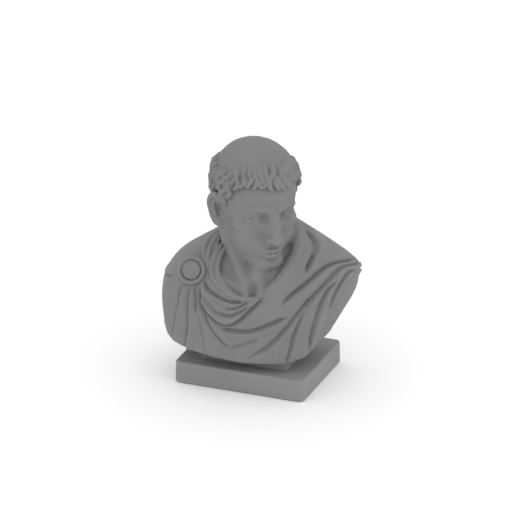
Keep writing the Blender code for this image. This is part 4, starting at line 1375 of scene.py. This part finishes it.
class BUST_OT_set_stage(bpy.types.Operator):
    """Lay the pale floor, the soft light and the camera"""

    bl_idname = "bust.set_stage"
    bl_label = "Set Stage"

    def execute(self, context):
        look = context.scene.bust_stage
        deselect_all()
        bpy.ops.mesh.primitive_plane_add(size=FLOOR_WIDTH, location=(0, 0, -FLOOR_DROP))
        floor = bpy.context.object
        floor.name = "floor"
        paint = bpy.data.materials.new("Pale floor")
        paint.use_nodes = True
        shader = paint.node_tree.nodes["Principled BSDF"]
        shader.inputs["Base Color"].default_value = (*look.floor_colour, 1.0)
        shader.inputs["Roughness"].default_value = 0.9
        shader.inputs["Specular IOR Level"].default_value = 0.0
        floor.data.materials.append(paint)

        world = bpy.data.worlds.new("Soft white dome")
        world.use_nodes = True
        sky = world.node_tree.nodes["Background"]
        sky.inputs["Color"].default_value = (1.0, 1.0, 1.0, 1.0)
        sky.inputs["Strength"].default_value = look.dome_strength
        context.scene.world = world

        sun = bpy.data.lights.new("Broad soft key", "SUN")
        sun.energy = look.sun_strength
        sun.angle = math.radians(KEY_BREADTH)
        holder = bpy.data.objects.new("Broad soft key", sun)
        holder.rotation_euler = (0.0, math.radians(KEY_TURN), 0.0)
        context.scene.collection.objects.link(holder)

        right, up, back = picture_axes(look.azimuth, look.elevation)
        aim = PICTURE_MIDDLE[0] * right + PICTURE_MIDDLE[1] * up
        camera = bpy.data.cameras.new("Picture camera")
        camera.lens = look.lens
        camera.sensor_width = SENSOR_WIDTH
        distance = look.view_width * look.lens / SENSOR_WIDTH
        camera.clip_start = 0.1
        camera.clip_end = 60.0
        stand = bpy.data.objects.new("Picture camera", camera)
        stand.location = aim + back * distance
        stand.rotation_euler = (math.radians(90 - look.elevation), 0.0, math.radians(look.azimuth))
        context.scene.collection.objects.link(stand)
        context.scene.camera = stand
        context.scene.view_settings.view_transform = "Standard"
        return {"FINISHED"}


class BUST_PT_sidebar(bpy.types.Panel):
    """Steps and settings of the bust"""

    bl_label = "Roman Emperor Bust"
    bl_idname = "BUST_PT_sidebar"
    bl_space_type = "VIEW_3D"
    bl_region_type = "UI"
    bl_category = "Bust"

    def draw(self, context):
        layout = self.layout
        for title, group in (
            ("Sizes", context.scene.bust_sizes),
            ("Stone", context.scene.bust_stone),
            ("Stage", context.scene.bust_stage),
        ):
            box = layout.box()
            box.label(text=title)
            for name in group.__annotations__:
                box.prop(group, name)
        for step in STEPS:
            layout.operator(step.bl_idname)


STEPS = (BUST_OT_carve_bust, BUST_OT_cut_plinth, BUST_OT_set_stage)
SETTINGS = (
    ("bust_sizes", BustSizes),
    ("bust_stone", StoneLook),
    ("bust_stage", StageLook),
)


def register():
    for name, settings in SETTINGS:
        bpy.utils.register_class(settings)
        setattr(bpy.types.Scene, name, bpy.props.PointerProperty(type=settings))
    for step in STEPS:
        bpy.utils.register_class(step)
    bpy.utils.register_class(BUST_PT_sidebar)


def unregister():
    bpy.utils.unregister_class(BUST_PT_sidebar)
    for step in reversed(STEPS):
        bpy.utils.unregister_class(step)
    for name, settings in reversed(SETTINGS):
        delattr(bpy.types.Scene, name)
        bpy.utils.unregister_class(settings)


def main():
    register()
    bpy.ops.bust.carve_bust()
    bpy.ops.bust.cut_plinth()
    bpy.ops.bust.set_stage()


if __name__ == "__main__":
    main()
